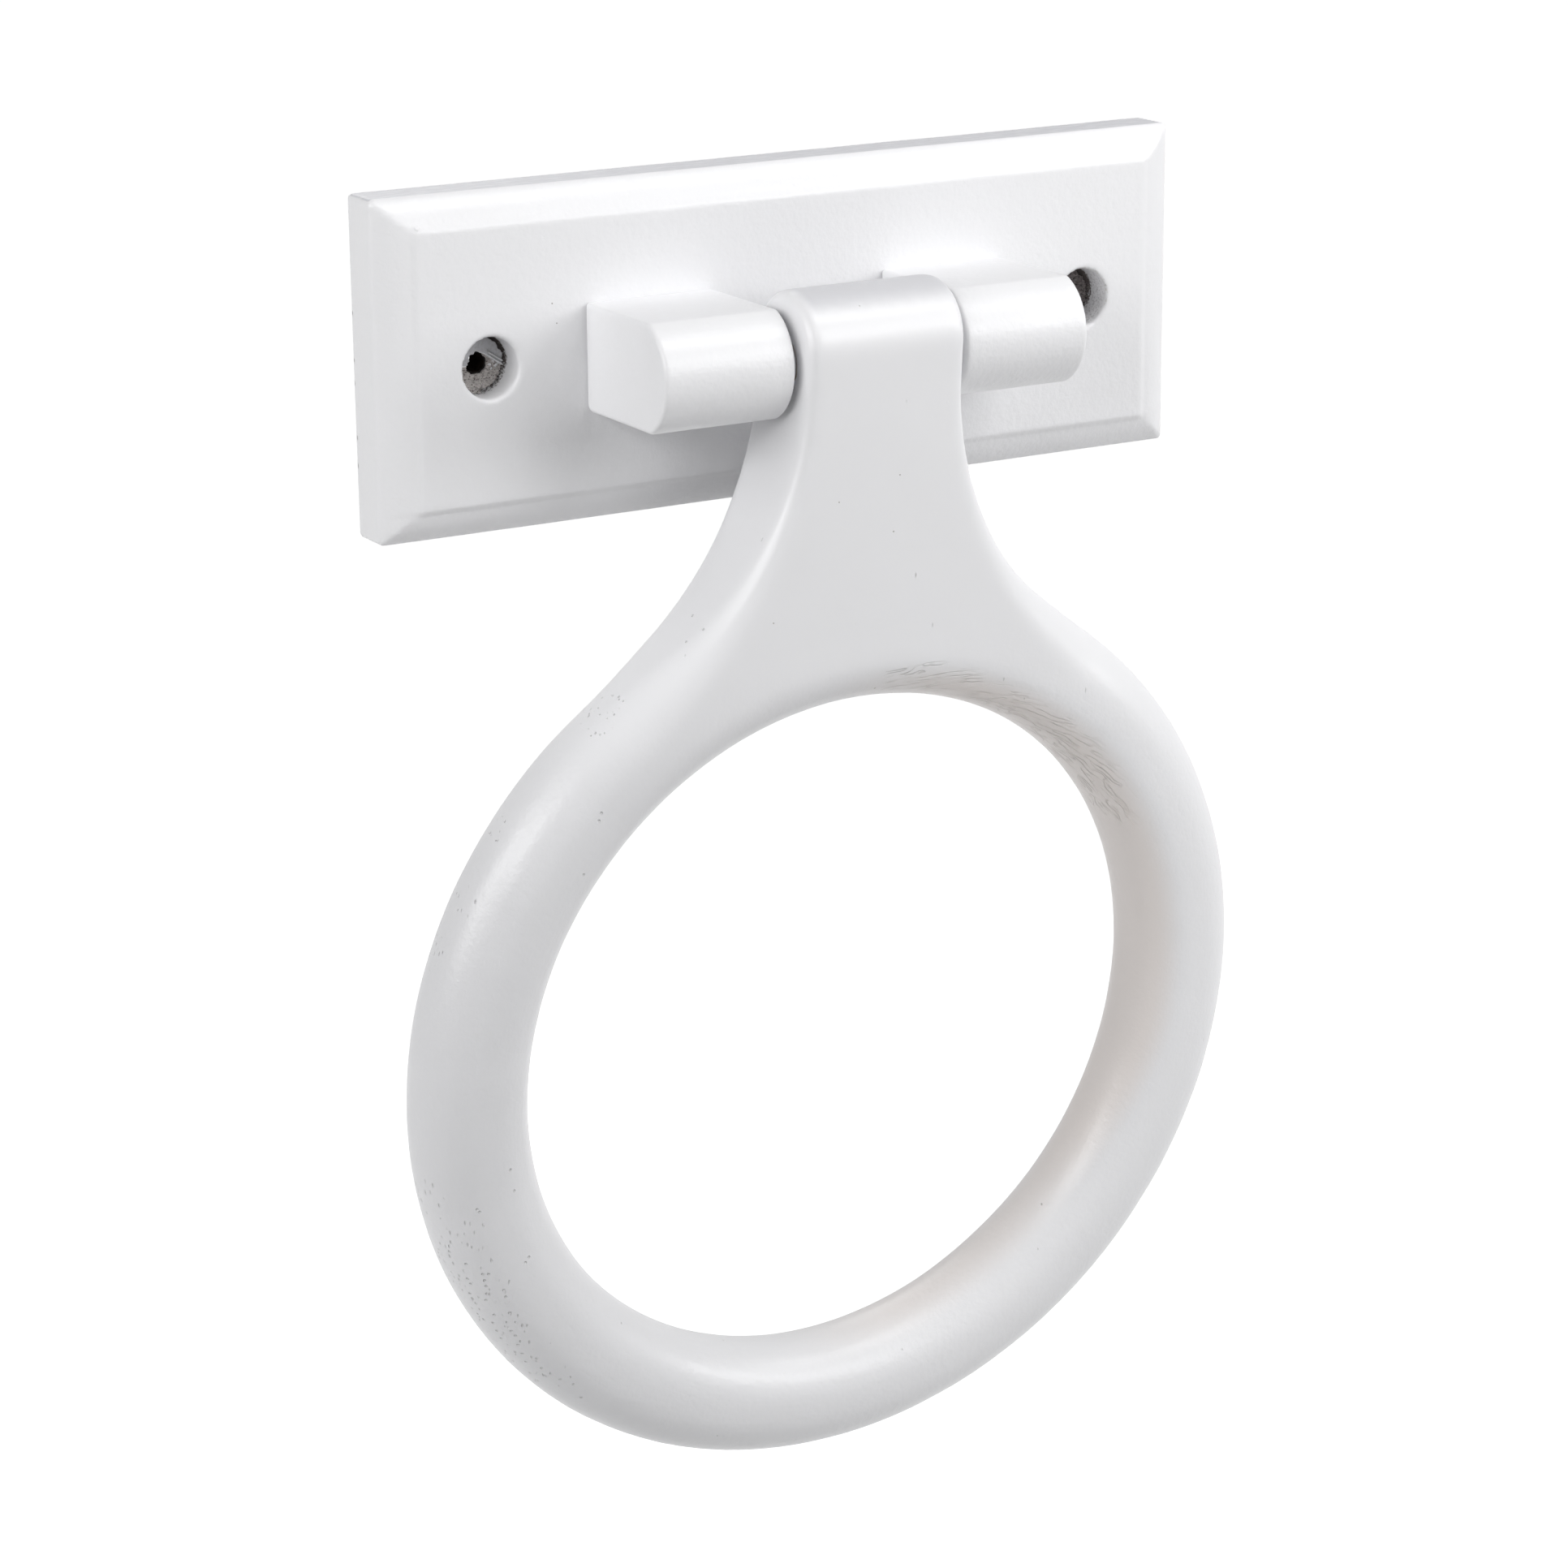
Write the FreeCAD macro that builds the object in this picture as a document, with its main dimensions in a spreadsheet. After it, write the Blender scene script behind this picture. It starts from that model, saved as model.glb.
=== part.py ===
import FreeCAD, Part
import math
import os

import Sketcher
from FreeCAD import Vector

# Wooden towel ring for a wall: a moulded backplate, two knuckles glued and
# screwed to its face, and a ring with a neck that swings on a hidden pin.
# Millimetres. The wall is the plane Y = 0, the room lies towards -Y, X runs
# along the plate and Z is up. The origin lies on the plate's back, midway
# between the two holes for wall screws.

doc = FreeCAD.newDocument("TowelRing")
sizes = doc.addObject("Spreadsheet::Sheet", "Sizes")

DIMENSIONS = [
    ("plate_width", 180.8, "backplate along X"),
    ("plate_height", 66.4, "backplate along Z"),
    ("plate_rise", 0.5, "the plate's middle above the line of its screw holes"),
    ("plate_band", 9.4, "square edge from the wall to the moulding"),
    ("moulding_rise", 3.9, "depth of the moulding in front of the band"),
    ("moulding_side", 7.8, "moulding width on the two short sides"),
    ("moulding_top", 6.3, "moulding width on the two long sides"),
    ("moulding_radius", 12.0, "radius of the moulding's convex face"),
    ("plate_corner", 1.0, "rounding of the plate's four corners"),
    ("plate_back_ease", 0.3, "easing of the edge against the wall"),
    ("screw_spacing", 135.0, "distance between the two wall screw holes"),
    ("screw_hole", 4.0, "diameter of the wall screw holes"),
    ("counterbore", 12.0, "diameter of the recess for a screw head"),
    ("counterbore_depth", 7.0, "depth of that recess"),
    ("knuckle_gap", 38.2, "clear distance between the two knuckles"),
    ("knuckle_width", 28.2, "each knuckle along X"),
    ("knuckle_height", 21.2, "each knuckle along Z"),
    ("knuckle_reach", 25.2, "flat top and bottom, from the plate's face"),
    ("nose_radius", 11.6, "radius of the knuckle's round nose"),
    ("knuckle_ease", 0.8, "easing of the knuckle's end edges"),
    ("heel_round", 1.6, "rounding under the knuckle's heel"),
    ("pin_reach", 23.8, "plate's face to the pin's axis"),
    ("pin_diameter", 8.0, "hinge pin"),
    ("pin_embed", 14.0, "depth of the pin's hole in each knuckle"),
    ("pin_end_gap", 0.3, "room past each end of the pin"),
    ("pin_ease", 0.6, "chamfer on the pin's ends"),
    ("pin_seat", 0.02, "radial clearance of the pin in the knuckles"),
    ("pin_play", 0.08, "radial clearance of the pin in the ring"),
    ("board", 22.0, "thickness of the board that the ring is cut from"),
    ("ring_radius", 95.2, "outer radius of the ring"),
    ("ring_width", 23.8, "the ring's section, across its plane"),
    ("neck_length", 46.3, "pin's axis to the top of the ring's outline"),
    ("ring_flat", 0.4, "flat left between the ring's rounded edges"),
    ("neck_clearance", 1.6, "gap between the neck and each knuckle"),
    ("neck_rise", 13.7, "pin's axis to the top of the neck"),
    ("neck_round", 2.2, "rounding of the neck's edges"),
    ("flare_start", 4.0, "pin's axis down to where the neck begins to flare"),
    ("shoulder_length", 19.0, "straight stretch from the flare to the ring"),
    ("flare_round", 8.0, "rounding of the edges where the flare ends"),
    ("joint_turn", 6.0, "degrees of the ring, past each shoulder, sawn with the neck"),
    ("ring_lean", 4.7, "degrees that the ring leans back towards the wall"),
    ("fixing_diameter", 4.0, "shank of the screw that holds a knuckle"),
    ("fixing_length", 30.0, "length of that screw"),
    ("fixing_head", 8.0, "diameter of its countersunk head"),
    ("fixing_sink", 0.4, "depth of the head below the plate's back"),
    ("fixing_play", 0.05, "radial clearance round its shank and head"),
    ("fixing_tip", 5.0, "length of its point"),
    ("recess_width", 1.1, "width of a slot in the cross recess"),
    ("recess_span", 4.4, "span of the cross recess"),
    ("recess_depth", 2.0, "depth of the cross recess"),
    ("cutter_spare", 5.0, "how far a cutting profile runs past the wood"),
]
for row, (alias, value, note) in enumerate(DIMENSIONS, start=1):
    sizes.set(f"A{row}", alias)
    sizes.set(f"B{row}", str(value))
    sizes.setAlias(f"B{row}", alias)
    sizes.set(f"C{row}", note)
doc.recompute()

# Distances that several pieces share, each from the sizes above.
PLATE_FACE = "(Sizes.plate_band + Sizes.moulding_rise)"
KNUCKLE_TOP = "(Sizes.knuckle_height / 2)"
KNUCKLE_FRONT = f"({PLATE_FACE} + Sizes.knuckle_reach)"
KNUCKLE_INNER = "(Sizes.knuckle_gap / 2)"
KNUCKLE_MIDDLE = "(Sizes.knuckle_gap / 2 + Sizes.knuckle_width / 2)"
PIN_STANDOFF = f"({PLATE_FACE} + Sizes.pin_reach)"
NECK_HALF = "(Sizes.knuckle_gap / 2 - Sizes.neck_clearance)"
RING_INNER = "(Sizes.ring_radius - Sizes.ring_width)"
BOARD_HALF = "(Sizes.board / 2)"
RING_ROUND = "((min(Sizes.board; Sizes.ring_width) - Sizes.ring_flat) / 2)"
RING_DROP = "(Sizes.neck_length + Sizes.ring_radius)"
# The neck's side runs into a hollow curve, and a straight shoulder joins that
# curve to the ring's outer circle and touches both, which settles the curve's
# radius. FLARE_X and FLARE_LIFT place the curve's centre from the ring's, and
# SHOULDER is the angle from the vertical at which the shoulder meets the ring.
# JOINT is the angle at which the piece with the neck ends.
FLARE_LIFT = f"({RING_DROP} - Sizes.flare_start)"
FLARE_RADIUS = (f"((pow({NECK_HALF}; 2) + pow({FLARE_LIFT}; 2) - pow(Sizes.ring_radius; 2)"
                f" - pow(Sizes.shoulder_length; 2)) / (2 * (Sizes.ring_radius - {NECK_HALF})))")
FLARE_X = f"({NECK_HALF} + {FLARE_RADIUS})"
SHOULDER = (f"(atan({FLARE_X} / {FLARE_LIFT})"
            f" + atan(Sizes.shoulder_length / (Sizes.ring_radius + {FLARE_RADIUS})))")
JOINT = f"({SHOULDER} + Sizes.joint_turn * 1 deg)"


def number(expression):
    """The present value of an expression over the sheet."""
    value = sizes.evalExpression(expression)
    return float(getattr(value, "Value", value))


def origin_plane(body, role):
    for feature in body.Origin.OriginFeatures:
        if feature.Role == role:
            return feature
    raise ValueError(role)


def new_body(name):
    body = doc.addObject("PartDesign::Body", name)
    body.Label = name
    return body


def new_sketch(body, name, role, shift=None):
    """A sketch on one of the body's origin planes, moved along its normal by
    the expression shift."""
    sketch = body.newObject("Sketcher::SketchObject", name)
    sketch.AttachmentSupport = [(origin_plane(body, role), "")]
    sketch.MapMode = "FlatFace"
    if shift:
        sketch.setExpression("AttachmentOffset.Base.z", shift)
    doc.recompute()
    return sketch


def bind(sketch, kind, references, expression):
    """A dimension of the sketch that follows an expression."""
    index = sketch.addConstraint(Sketcher.Constraint(kind, *references, number(expression)))
    sketch.setExpression(f"Constraints[{index}]", expression)


ORIGIN_POINT = (-1, 1)
HORIZONTAL_AXIS = -1
VERTICAL_AXIS = -2
START, END, CENTRE = 1, 2, 3


def place_point(sketch, point, across, up):
    """Ties a point to the sketch's origin by two expressions. A distance is
    measured in its positive sense, and a zero puts the point on the axis."""
    for kind, expression, axis in (
        ("DistanceX", across, VERTICAL_AXIS),
        ("DistanceY", up, HORIZONTAL_AXIS),
    ):
        value = number(expression)
        if expression == "0":
            sketch.addConstraint(Sketcher.Constraint("PointOnObject", *point, axis))
        elif value > 0:
            bind(sketch, kind, (*ORIGIN_POINT, *point), expression)
        else:
            bind(sketch, kind, (*point, *ORIGIN_POINT), f"-1 * ({expression})")


def add_arc(sketch, start, end, radius, side):
    """Adds an arc from start to end, less than half a turn. A side of 1 bows
    it to the left of the way there, and -1 to the right. Gives the arc with
    the names of its first and last point, because every arc in a sketch runs
    anticlockwise."""
    chord = end - start
    left = Vector(-chord.y, chord.x, 0).normalize()
    centre_gap = math.sqrt(max(radius ** 2 - (chord.Length / 2) ** 2, 0))
    centre = (start + end) * 0.5 - left * (centre_gap * side)
    first, last = (end, start) if side > 0 else (start, end)
    first_angle = math.atan2(first.y - centre.y, first.x - centre.x)
    last_angle = math.atan2(last.y - centre.y, last.x - centre.x)
    if last_angle < first_angle:
        last_angle += 2 * math.pi
    whole = Part.Circle(centre, Vector(0, 0, 1), radius)
    index = sketch.addGeometry(Part.ArcOfCircle(whole, first_angle, last_angle))
    return (index, END, START) if side > 0 else (index, START, END)


def outline(sketch, corners):
    """A closed outline. Each corner is (across, up) or (across, up, radius,
    side), where the radius and side make the stretch after it an arc."""
    points = [Vector(number(c[0]), number(c[1]), 0) for c in corners]
    stretches = []
    for index, corner in enumerate(corners):
        start = points[index]
        end = points[(index + 1) % len(points)]
        if len(corner) == 2:
            stretches.append((sketch.addGeometry(Part.LineSegment(start, end)), START, END))
        else:
            stretches.append(add_arc(sketch, start, end, number(corner[2]), corner[3]))
    for index, (stretch, first, last) in enumerate(stretches):
        following, next_first, _ = stretches[(index + 1) % len(stretches)]
        sketch.addConstraint(Sketcher.Constraint("Coincident", stretch, last, following, next_first))
    for (stretch, first, last), corner in zip(stretches, corners):
        place_point(sketch, (stretch, first), corner[0], corner[1])
        if len(corner) > 2:
            bind(sketch, "Radius", (stretch,), corner[2])
    return sketch


def circle(sketch, across, up, diameter):
    start = Vector(number(across), number(up), 0)
    ring = sketch.addGeometry(Part.Circle(start, Vector(0, 0, 1), number(diameter) / 2))
    place_point(sketch, (ring, CENTRE), across, up)
    bind(sketch, "Diameter", (ring,), diameter)
    return sketch


def pad(body, name, sketch, length, symmetric=False, reverse=False):
    feature = body.newObject("PartDesign::Pad", name)
    feature.Profile = sketch
    feature.setExpression("Length", length)
    feature.SideType = "Symmetric" if symmetric else "One side"
    feature.Reversed = reverse
    doc.recompute()
    return feature


def pocket(body, name, sketch, length=None, symmetric=False, reverse=False):
    """Cuts a sketch into the body, right through where no length is given."""
    before = body.Shape.Volume
    feature = body.newObject("PartDesign::Pocket", name)
    feature.Profile = sketch
    feature.SideType = "Symmetric" if symmetric else "One side"
    feature.Reversed = reverse
    if length:
        feature.setExpression("Length", length)
    else:
        feature.Type = "ThroughAll"
    doc.recompute()
    if body.Shape.Volume >= before:
        raise ValueError(f"{name} cuts nothing")
    return feature


def mirror(body, name, features, role="YZ_Plane"):
    copy = body.newObject("PartDesign::Mirrored", name)
    copy.Originals = features
    copy.MirrorPlane = (origin_plane(body, role), [""])
    body.Tip = copy
    doc.recompute()
    return copy


def edges_where(shape, test):
    """Names of the edges whose bounding box passes a test."""
    return [f"Edge{i}" for i, edge in enumerate(shape.Edges, start=1) if test(edge.BoundBox)]


def ease(body, name, edges, radius, kind="PartDesign::Fillet", measure="Radius"):
    feature = body.newObject(kind, name)
    feature.Base = (body.Tip if body.Tip != feature else feature.BaseFeature, edges)
    feature.setExpression(measure, radius)
    doc.recompute()
    return feature


def near(value, target, slack=0.01):
    return abs(value - target) < slack


def make_backplate():
    """A board with a square band against the wall, a convex moulding round
    its front and two counterbored holes for wall screws."""
    body = new_body("backplate")
    top = "(Sizes.plate_rise + Sizes.plate_height / 2)"
    bottom = "(Sizes.plate_rise - Sizes.plate_height / 2)"
    face_top = f"({top} - Sizes.moulding_top)"
    face_bottom = f"({bottom} + Sizes.moulding_top)"
    section = outline(new_sketch(body, "plate_section", "YZ_Plane"), [
        ("0", bottom),
        ("0", top),
        ("-1 * Sizes.plate_band", top, "Sizes.moulding_radius", -1),
        (f"-1 * {PLATE_FACE}", face_top),
        (f"-1 * {PLATE_FACE}", face_bottom, "Sizes.moulding_radius", -1),
        ("-1 * Sizes.plate_band", bottom),
    ])
    pad(body, "plate_length", section, "Sizes.plate_width", symmetric=True)
    half_width = "(Sizes.plate_width / 2)"
    face_end = f"({half_width} - Sizes.moulding_side)"
    past_face = f"({PLATE_FACE} + Sizes.cutter_spare)"
    past_end = f"({half_width} + Sizes.cutter_spare)"
    cutter = outline(new_sketch(body, "end_moulding", "XY_Plane"), [
        (half_width, "-1 * Sizes.plate_band", "Sizes.moulding_radius", 1),
        (face_end, f"-1 * {PLATE_FACE}"),
        (face_end, f"-1 * {past_face}"),
        (past_end, f"-1 * {past_face}"),
        (past_end, "-1 * Sizes.plate_band"),
    ])
    end_cut = pocket(body, "end_cut", cutter,
                     "Sizes.plate_height + 2 * Sizes.cutter_spare", symmetric=True)
    mirror(body, "both_ends", [end_cut])
    half_spacing = "(Sizes.screw_spacing / 2)"
    recess = circle(new_sketch(body, "recess_circle", "XZ_Plane", PLATE_FACE),
                    half_spacing, "0", "Sizes.counterbore")
    recess_cut = pocket(body, "recess_cut", recess, "Sizes.counterbore_depth")
    mirror(body, "both_recesses", [recess_cut])
    drill = circle(new_sketch(body, "drill_circle", "XZ_Plane", PLATE_FACE),
                   half_spacing, "0", "Sizes.screw_hole")
    drill_cut = pocket(body, "drill_cut", drill)
    mirror(body, "both_holes", [drill_cut])
    # Countersunk holes from behind, one for each knuckle's screw.
    seat = fixing_seat(new_sketch(body, "seat_section", "XY_Plane"))
    groove = body.newObject("PartDesign::Groove", "seat_cut")
    groove.Profile = seat
    groove.ReferenceAxis = (seat, ["V_Axis"])
    groove.Angle = 360
    seat.setExpression("AttachmentOffset.Base.x", KNUCKLE_MIDDLE)
    doc.recompute()
    mirror(body, "both_seats", [groove])
    corner_x = number(half_width)
    height = number("Sizes.plate_height")
    band = number("Sizes.plate_band")
    corners = edges_where(body.Shape, lambda b: near(abs(b.XMin), corner_x)
                          and near(b.XLength, 0) and near(b.ZLength, 0) and near(b.YLength, band))
    ease(body, "plate_corners", corners, "Sizes.plate_corner")
    back = edges_where(body.Shape, lambda b: near(b.YMin, 0) and near(b.YMax, 0)
                       and b.DiagonalLength > height / 2)
    ease(body, "plate_back", back, "Sizes.plate_back_ease")
    return body


def fixing_seat(sketch):
    """Half section of the hole for a knuckle's screw: a cone for the head and
    a straight hole through the plate. Y = 0 is the plate's back."""
    head = "(Sizes.fixing_head / 2 + Sizes.fixing_play)"
    shank = "(Sizes.fixing_diameter / 2 + Sizes.fixing_play)"
    cone_end = f"(Sizes.fixing_sink + {head} - {shank})"
    past_face = f"({PLATE_FACE} + Sizes.cutter_spare)"
    return outline(sketch, [
        ("0", "Sizes.cutter_spare"),
        (head, "Sizes.cutter_spare"),
        (head, "-1 * Sizes.fixing_sink"),
        (shank, f"-1 * {cone_end}"),
        (shank, f"-1 * {past_face}"),
        ("0", f"-1 * {past_face}"),
    ])


def make_knuckle(name, side):
    """A block with a round nose, screwed to the plate. Its inner end has the
    blind hole for the hinge pin. side is 1 for the right, -1 for the left."""
    body = new_body(name)
    inner_end = KNUCKLE_INNER if side > 0 else f"-1 * {KNUCKLE_INNER}"
    profile = outline(new_sketch(body, f"{name}_profile", "YZ_Plane", inner_end), [
        (f"-1 * {PLATE_FACE}", f"Sizes.heel_round - {KNUCKLE_TOP}"),
        (f"-1 * {PLATE_FACE}", KNUCKLE_TOP),
        (f"-1 * {KNUCKLE_FRONT}", KNUCKLE_TOP, "Sizes.nose_radius", -1),
        (f"-1 * {KNUCKLE_FRONT}", f"-1 * {KNUCKLE_TOP}"),
        (f"-1 * ({PLATE_FACE} + Sizes.heel_round)", f"-1 * {KNUCKLE_TOP}", "Sizes.heel_round", -1),
    ])
    pad(body, f"{name}_block", profile, "Sizes.knuckle_width", reverse=side < 0)
    pin_circle = circle(new_sketch(body, f"{name}_pin_circle", "YZ_Plane", inner_end),
                        f"-1 * {PIN_STANDOFF}", "0", "Sizes.pin_diameter + 2 * Sizes.pin_seat")
    pocket(body, f"{name}_pin_hole", pin_circle, "Sizes.pin_embed", reverse=side > 0)
    middle = KNUCKLE_MIDDLE if side > 0 else f"-1 * {KNUCKLE_MIDDLE}"
    pilot = circle(new_sketch(body, f"{name}_pilot_circle", "XZ_Plane", PLATE_FACE),
                   middle, "0", "Sizes.fixing_diameter + 2 * Sizes.fixing_play")
    pilot_depth = f"Sizes.fixing_sink + Sizes.fixing_length - {PLATE_FACE} + Sizes.fixing_play"
    pocket(body, f"{name}_pilot", pilot, pilot_depth, reverse=True)
    # The ends of the block and the two ridges of the nose are eased, but not
    # the heel, nor the mouth of the pin's hole.
    top = number(KNUCKLE_TOP)
    heel_end = number(f"{PLATE_FACE} + Sizes.heel_round")
    outer_edges = edges_where(body.Shape, lambda b: near(max(abs(b.ZMin), abs(b.ZMax)), top)
                              and b.YMin < -heel_end - 1)
    ease(body, f"{name}_ends", outer_edges, "Sizes.knuckle_ease")
    return body


def make_hinge_pin():
    """A straight pin along X, held in both knuckles, on which the ring turns."""
    body = new_body("hinge_pin")
    section = circle(new_sketch(body, "pin_section", "YZ_Plane"),
                     f"-1 * {PIN_STANDOFF}", "0", "Sizes.pin_diameter")
    length = "Sizes.knuckle_gap + 2 * Sizes.pin_embed - 2 * Sizes.pin_end_gap"
    pad(body, "pin_length", section, length, symmetric=True)
    ends = edges_where(body.Shape, lambda b: near(b.XMin, b.XMax))
    ease(body, "pin_ends", ends, "Sizes.pin_ease", "PartDesign::Chamfer", "Size")
    return body


def make_fixing(name, side):
    """A countersunk wood screw from behind the plate into a knuckle."""
    body = new_body(name)
    head = "(Sizes.fixing_head / 2)"
    shank = "(Sizes.fixing_diameter / 2)"
    cone_end = f"(Sizes.fixing_sink + {head} - {shank})"
    tip = "(Sizes.fixing_sink + Sizes.fixing_length)"
    section = outline(new_sketch(body, f"{name}_section", "XY_Plane"), [
        ("0", "-1 * Sizes.fixing_sink"),
        (head, "-1 * Sizes.fixing_sink"),
        (shank, f"-1 * {cone_end}"),
        (shank, f"-1 * ({tip} - Sizes.fixing_tip)"),
        ("0", f"-1 * {tip}"),
    ])
    turned = body.newObject("PartDesign::Revolution", f"{name}_turned")
    turned.Profile = section
    turned.ReferenceAxis = (section, ["V_Axis"])
    turned.Angle = 360
    doc.recompute()
    arm = "(Sizes.recess_span / 2)"
    slot = "(Sizes.recess_width / 2)"
    cross = outline(new_sketch(body, f"{name}_cross", "XZ_Plane", "Sizes.fixing_sink"), [
        (f"-1 * {slot}", arm), (slot, arm), (slot, slot),
        (arm, slot), (arm, f"-1 * {slot}"), (slot, f"-1 * {slot}"),
        (slot, f"-1 * {arm}"), (f"-1 * {slot}", f"-1 * {arm}"), (f"-1 * {slot}", f"-1 * {slot}"),
        (f"-1 * {arm}", f"-1 * {slot}"), (f"-1 * {arm}", slot), (f"-1 * {slot}", slot),
    ])
    pocket(body, f"{name}_recess", cross, "Sizes.recess_depth", reverse=True)
    sign = "" if side > 0 else "-1 * "
    body.setExpression("Placement.Base.x", sign + KNUCKLE_MIDDLE)
    doc.recompute()
    return body


def make_neck_blank():
    """The neck and the top of the ring, sawn from the board. The pin's axis
    is at the sketch's origin. The two slanting ends point at the ring's
    centre, where the rest of the ring carries on."""
    body = new_body("neck_blank")
    outer_x = f"(Sizes.ring_radius * sin{SHOULDER})"
    outer_z = f"(Sizes.ring_radius * cos{SHOULDER} - {RING_DROP})"
    joint_x = f"(Sizes.ring_radius * sin{JOINT})"
    joint_z = f"(Sizes.ring_radius * cos{JOINT} - {RING_DROP})"
    inner_x = f"({RING_INNER} * sin{JOINT})"
    inner_z = f"({RING_INNER} * cos{JOINT} - {RING_DROP})"
    hollow_x = f"({FLARE_X} - {FLARE_RADIUS} * sin{SHOULDER})"
    hollow_z = f"(-1 * Sizes.flare_start - {FLARE_RADIUS} * cos{SHOULDER})"
    sawn = outline(new_sketch(body, "neck_outline", "XZ_Plane"), [
        (f"-1 * {NECK_HALF}", "Sizes.neck_rise"),
        (NECK_HALF, "Sizes.neck_rise"),
        (NECK_HALF, "-1 * Sizes.flare_start", FLARE_RADIUS, -1),
        (hollow_x, hollow_z),
        (outer_x, outer_z, "Sizes.ring_radius", 1),
        (joint_x, joint_z),
        (inner_x, inner_z, RING_INNER, -1),
        (f"-1 * {inner_x}", inner_z),
        (f"-1 * {joint_x}", joint_z, "Sizes.ring_radius", 1),
        (f"-1 * {outer_x}", outer_z),
        (f"-1 * {hollow_x}", hollow_z, FLARE_RADIUS, -1),
        (f"-1 * {NECK_HALF}", "-1 * Sizes.flare_start"),
    ])
    pad(body, "neck_board", sawn, "Sizes.board", symmetric=True)
    # The top of the neck is a half round across the board.
    round_z = f"(Sizes.neck_rise - {BOARD_HALF})"
    past_side = f"({BOARD_HALF} + Sizes.cutter_spare)"
    past_top = "(Sizes.neck_rise + Sizes.cutter_spare)"
    hood = outline(new_sketch(body, "hood_profile", "YZ_Plane"), [
        (BOARD_HALF, round_z, BOARD_HALF, -1),
        ("0", "Sizes.neck_rise", BOARD_HALF, -1),
        (f"-1 * {BOARD_HALF}", round_z),
        (f"-1 * {past_side}", round_z),
        (f"-1 * {past_side}", past_top),
        (past_side, past_top),
        (past_side, round_z),
    ])
    pocket(body, "hood_cut", hood, "Sizes.knuckle_gap", symmetric=True)
    bore = circle(new_sketch(body, "pin_bore_circle", "YZ_Plane"),
                  "0", "0", "Sizes.pin_diameter + 2 * Sizes.pin_play")
    pocket(body, "pin_bore", bore, "Sizes.knuckle_gap", symmetric=True)
    return body


def round_neck(blank):
    """Rounds the neck blank's edges: small beside the pin, growing down each
    flare to the ring's own rounding, and that same rounding in the opening."""
    small = number("Sizes.neck_round")
    middle = number("Sizes.flare_round")
    large = number(RING_ROUND)
    flare = number(FLARE_RADIUS)
    inner = number(RING_INNER)
    centre = Vector(0, 0, -number(RING_DROP))
    edges = list(enumerate(blank.Shape.Edges, start=1))

    def has_radius(edge, radius):
        return isinstance(edge.Curve, Part.Circle) and near(edge.Curve.Radius, radius)

    def on_shoulder(edge):
        """A slanting straight edge in the front or back face, outside the ring."""
        box = edge.BoundBox
        flat = near(box.YLength, 0) and min(box.XLength, box.ZLength) > 1
        ends = [Vector(v.X, 0, v.Z).distanceToPoint(centre) for v in edge.Vertexes]
        return flat and isinstance(edge.Curve, Part.Line) and min(ends) > number("Sizes.ring_radius") - 0.01

    rounded = []
    for side in (-1, 1):
        beside = [(i, e) for i, e in edges if e.CenterOfMass.x * side > 0]
        flares = [pair for pair in beside if has_radius(pair[1], flare)]
        shoulders = [pair for pair in beside if on_shoulder(pair[1])]
        front, back = sorted(flares, key=lambda pair: pair[1].CenterOfMass.y)
        front_low, back_low = sorted(shoulders, key=lambda pair: pair[1].CenterOfMass.y)
        # The rounding is one line, up one face and down the other. It runs the
        # way of the edge that is named first, and each edge takes its two
        # radii in the order of that line.
        upward = front[1].firstVertex().Z < front[1].lastVertex().Z
        for edge, low, high in (
            (front, middle, small), (front_low, large, middle),
            (back_low, large, middle), (back, middle, small),
        ):
            climbs = upward if edge in (front, front_low) else not upward
            rounded.append((edge[0], low, high) if climbs else (edge[0], high, low))
        for i, edge in beside:
            box = edge.BoundBox
            on_side = near(box.XLength, 0) and near(abs(box.XMin), number(NECK_HALF))
            bore_mouth = near(box.YLength, number("Sizes.pin_diameter + 2 * Sizes.pin_play"))
            across = near(box.YLength, number("Sizes.board"))
            if on_side and not bore_mouth and not across:
                rounded.append((i, small, small))
    outer = number("Sizes.ring_radius")
    rounded.extend((i, large, large) for i, e in edges if has_radius(e, inner) or has_radius(e, outer))
    feature = doc.addObject("Part::Fillet", "neck_rounded")
    feature.Base = blank
    feature.Edges = rounded
    doc.recompute()
    return feature


def make_ring_sweep():
    """The rest of the ring: its rounded section turned about the centre, from
    one flare round the bottom to the other."""
    body = new_body("ring_sweep")
    section = new_sketch(body, "ring_section", "YZ_Plane")
    section.setExpression("AttachmentOffset.Base.y", f"-1 * {RING_DROP}")
    doc.recompute()
    side = BOARD_HALF
    flat = f"({BOARD_HALF} - {RING_ROUND})"
    low = "(-1 * Sizes.ring_radius)"
    high = f"(-1 * {RING_INNER})"
    outline(section, [
        (side, f"{low} + {RING_ROUND}", RING_ROUND, 1),
        (flat, low),
        (f"-1 * {flat}", low, RING_ROUND, 1),
        (f"-1 * {side}", f"{low} + {RING_ROUND}"),
        (f"-1 * {side}", f"{high} - {RING_ROUND}", RING_ROUND, 1),
        (f"-1 * {flat}", high),
        (flat, high, RING_ROUND, 1),
        (side, f"{high} - {RING_ROUND}"),
    ])
    sweep = body.newObject("PartDesign::Revolution", "ring_turn")
    sweep.Profile = section
    sweep.ReferenceAxis = (section, ["H_Axis"])
    sweep.Midplane = True
    sweep.setExpression("Angle", f"360 - 2 * {JOINT} / 1 deg")
    doc.recompute()
    return body


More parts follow.
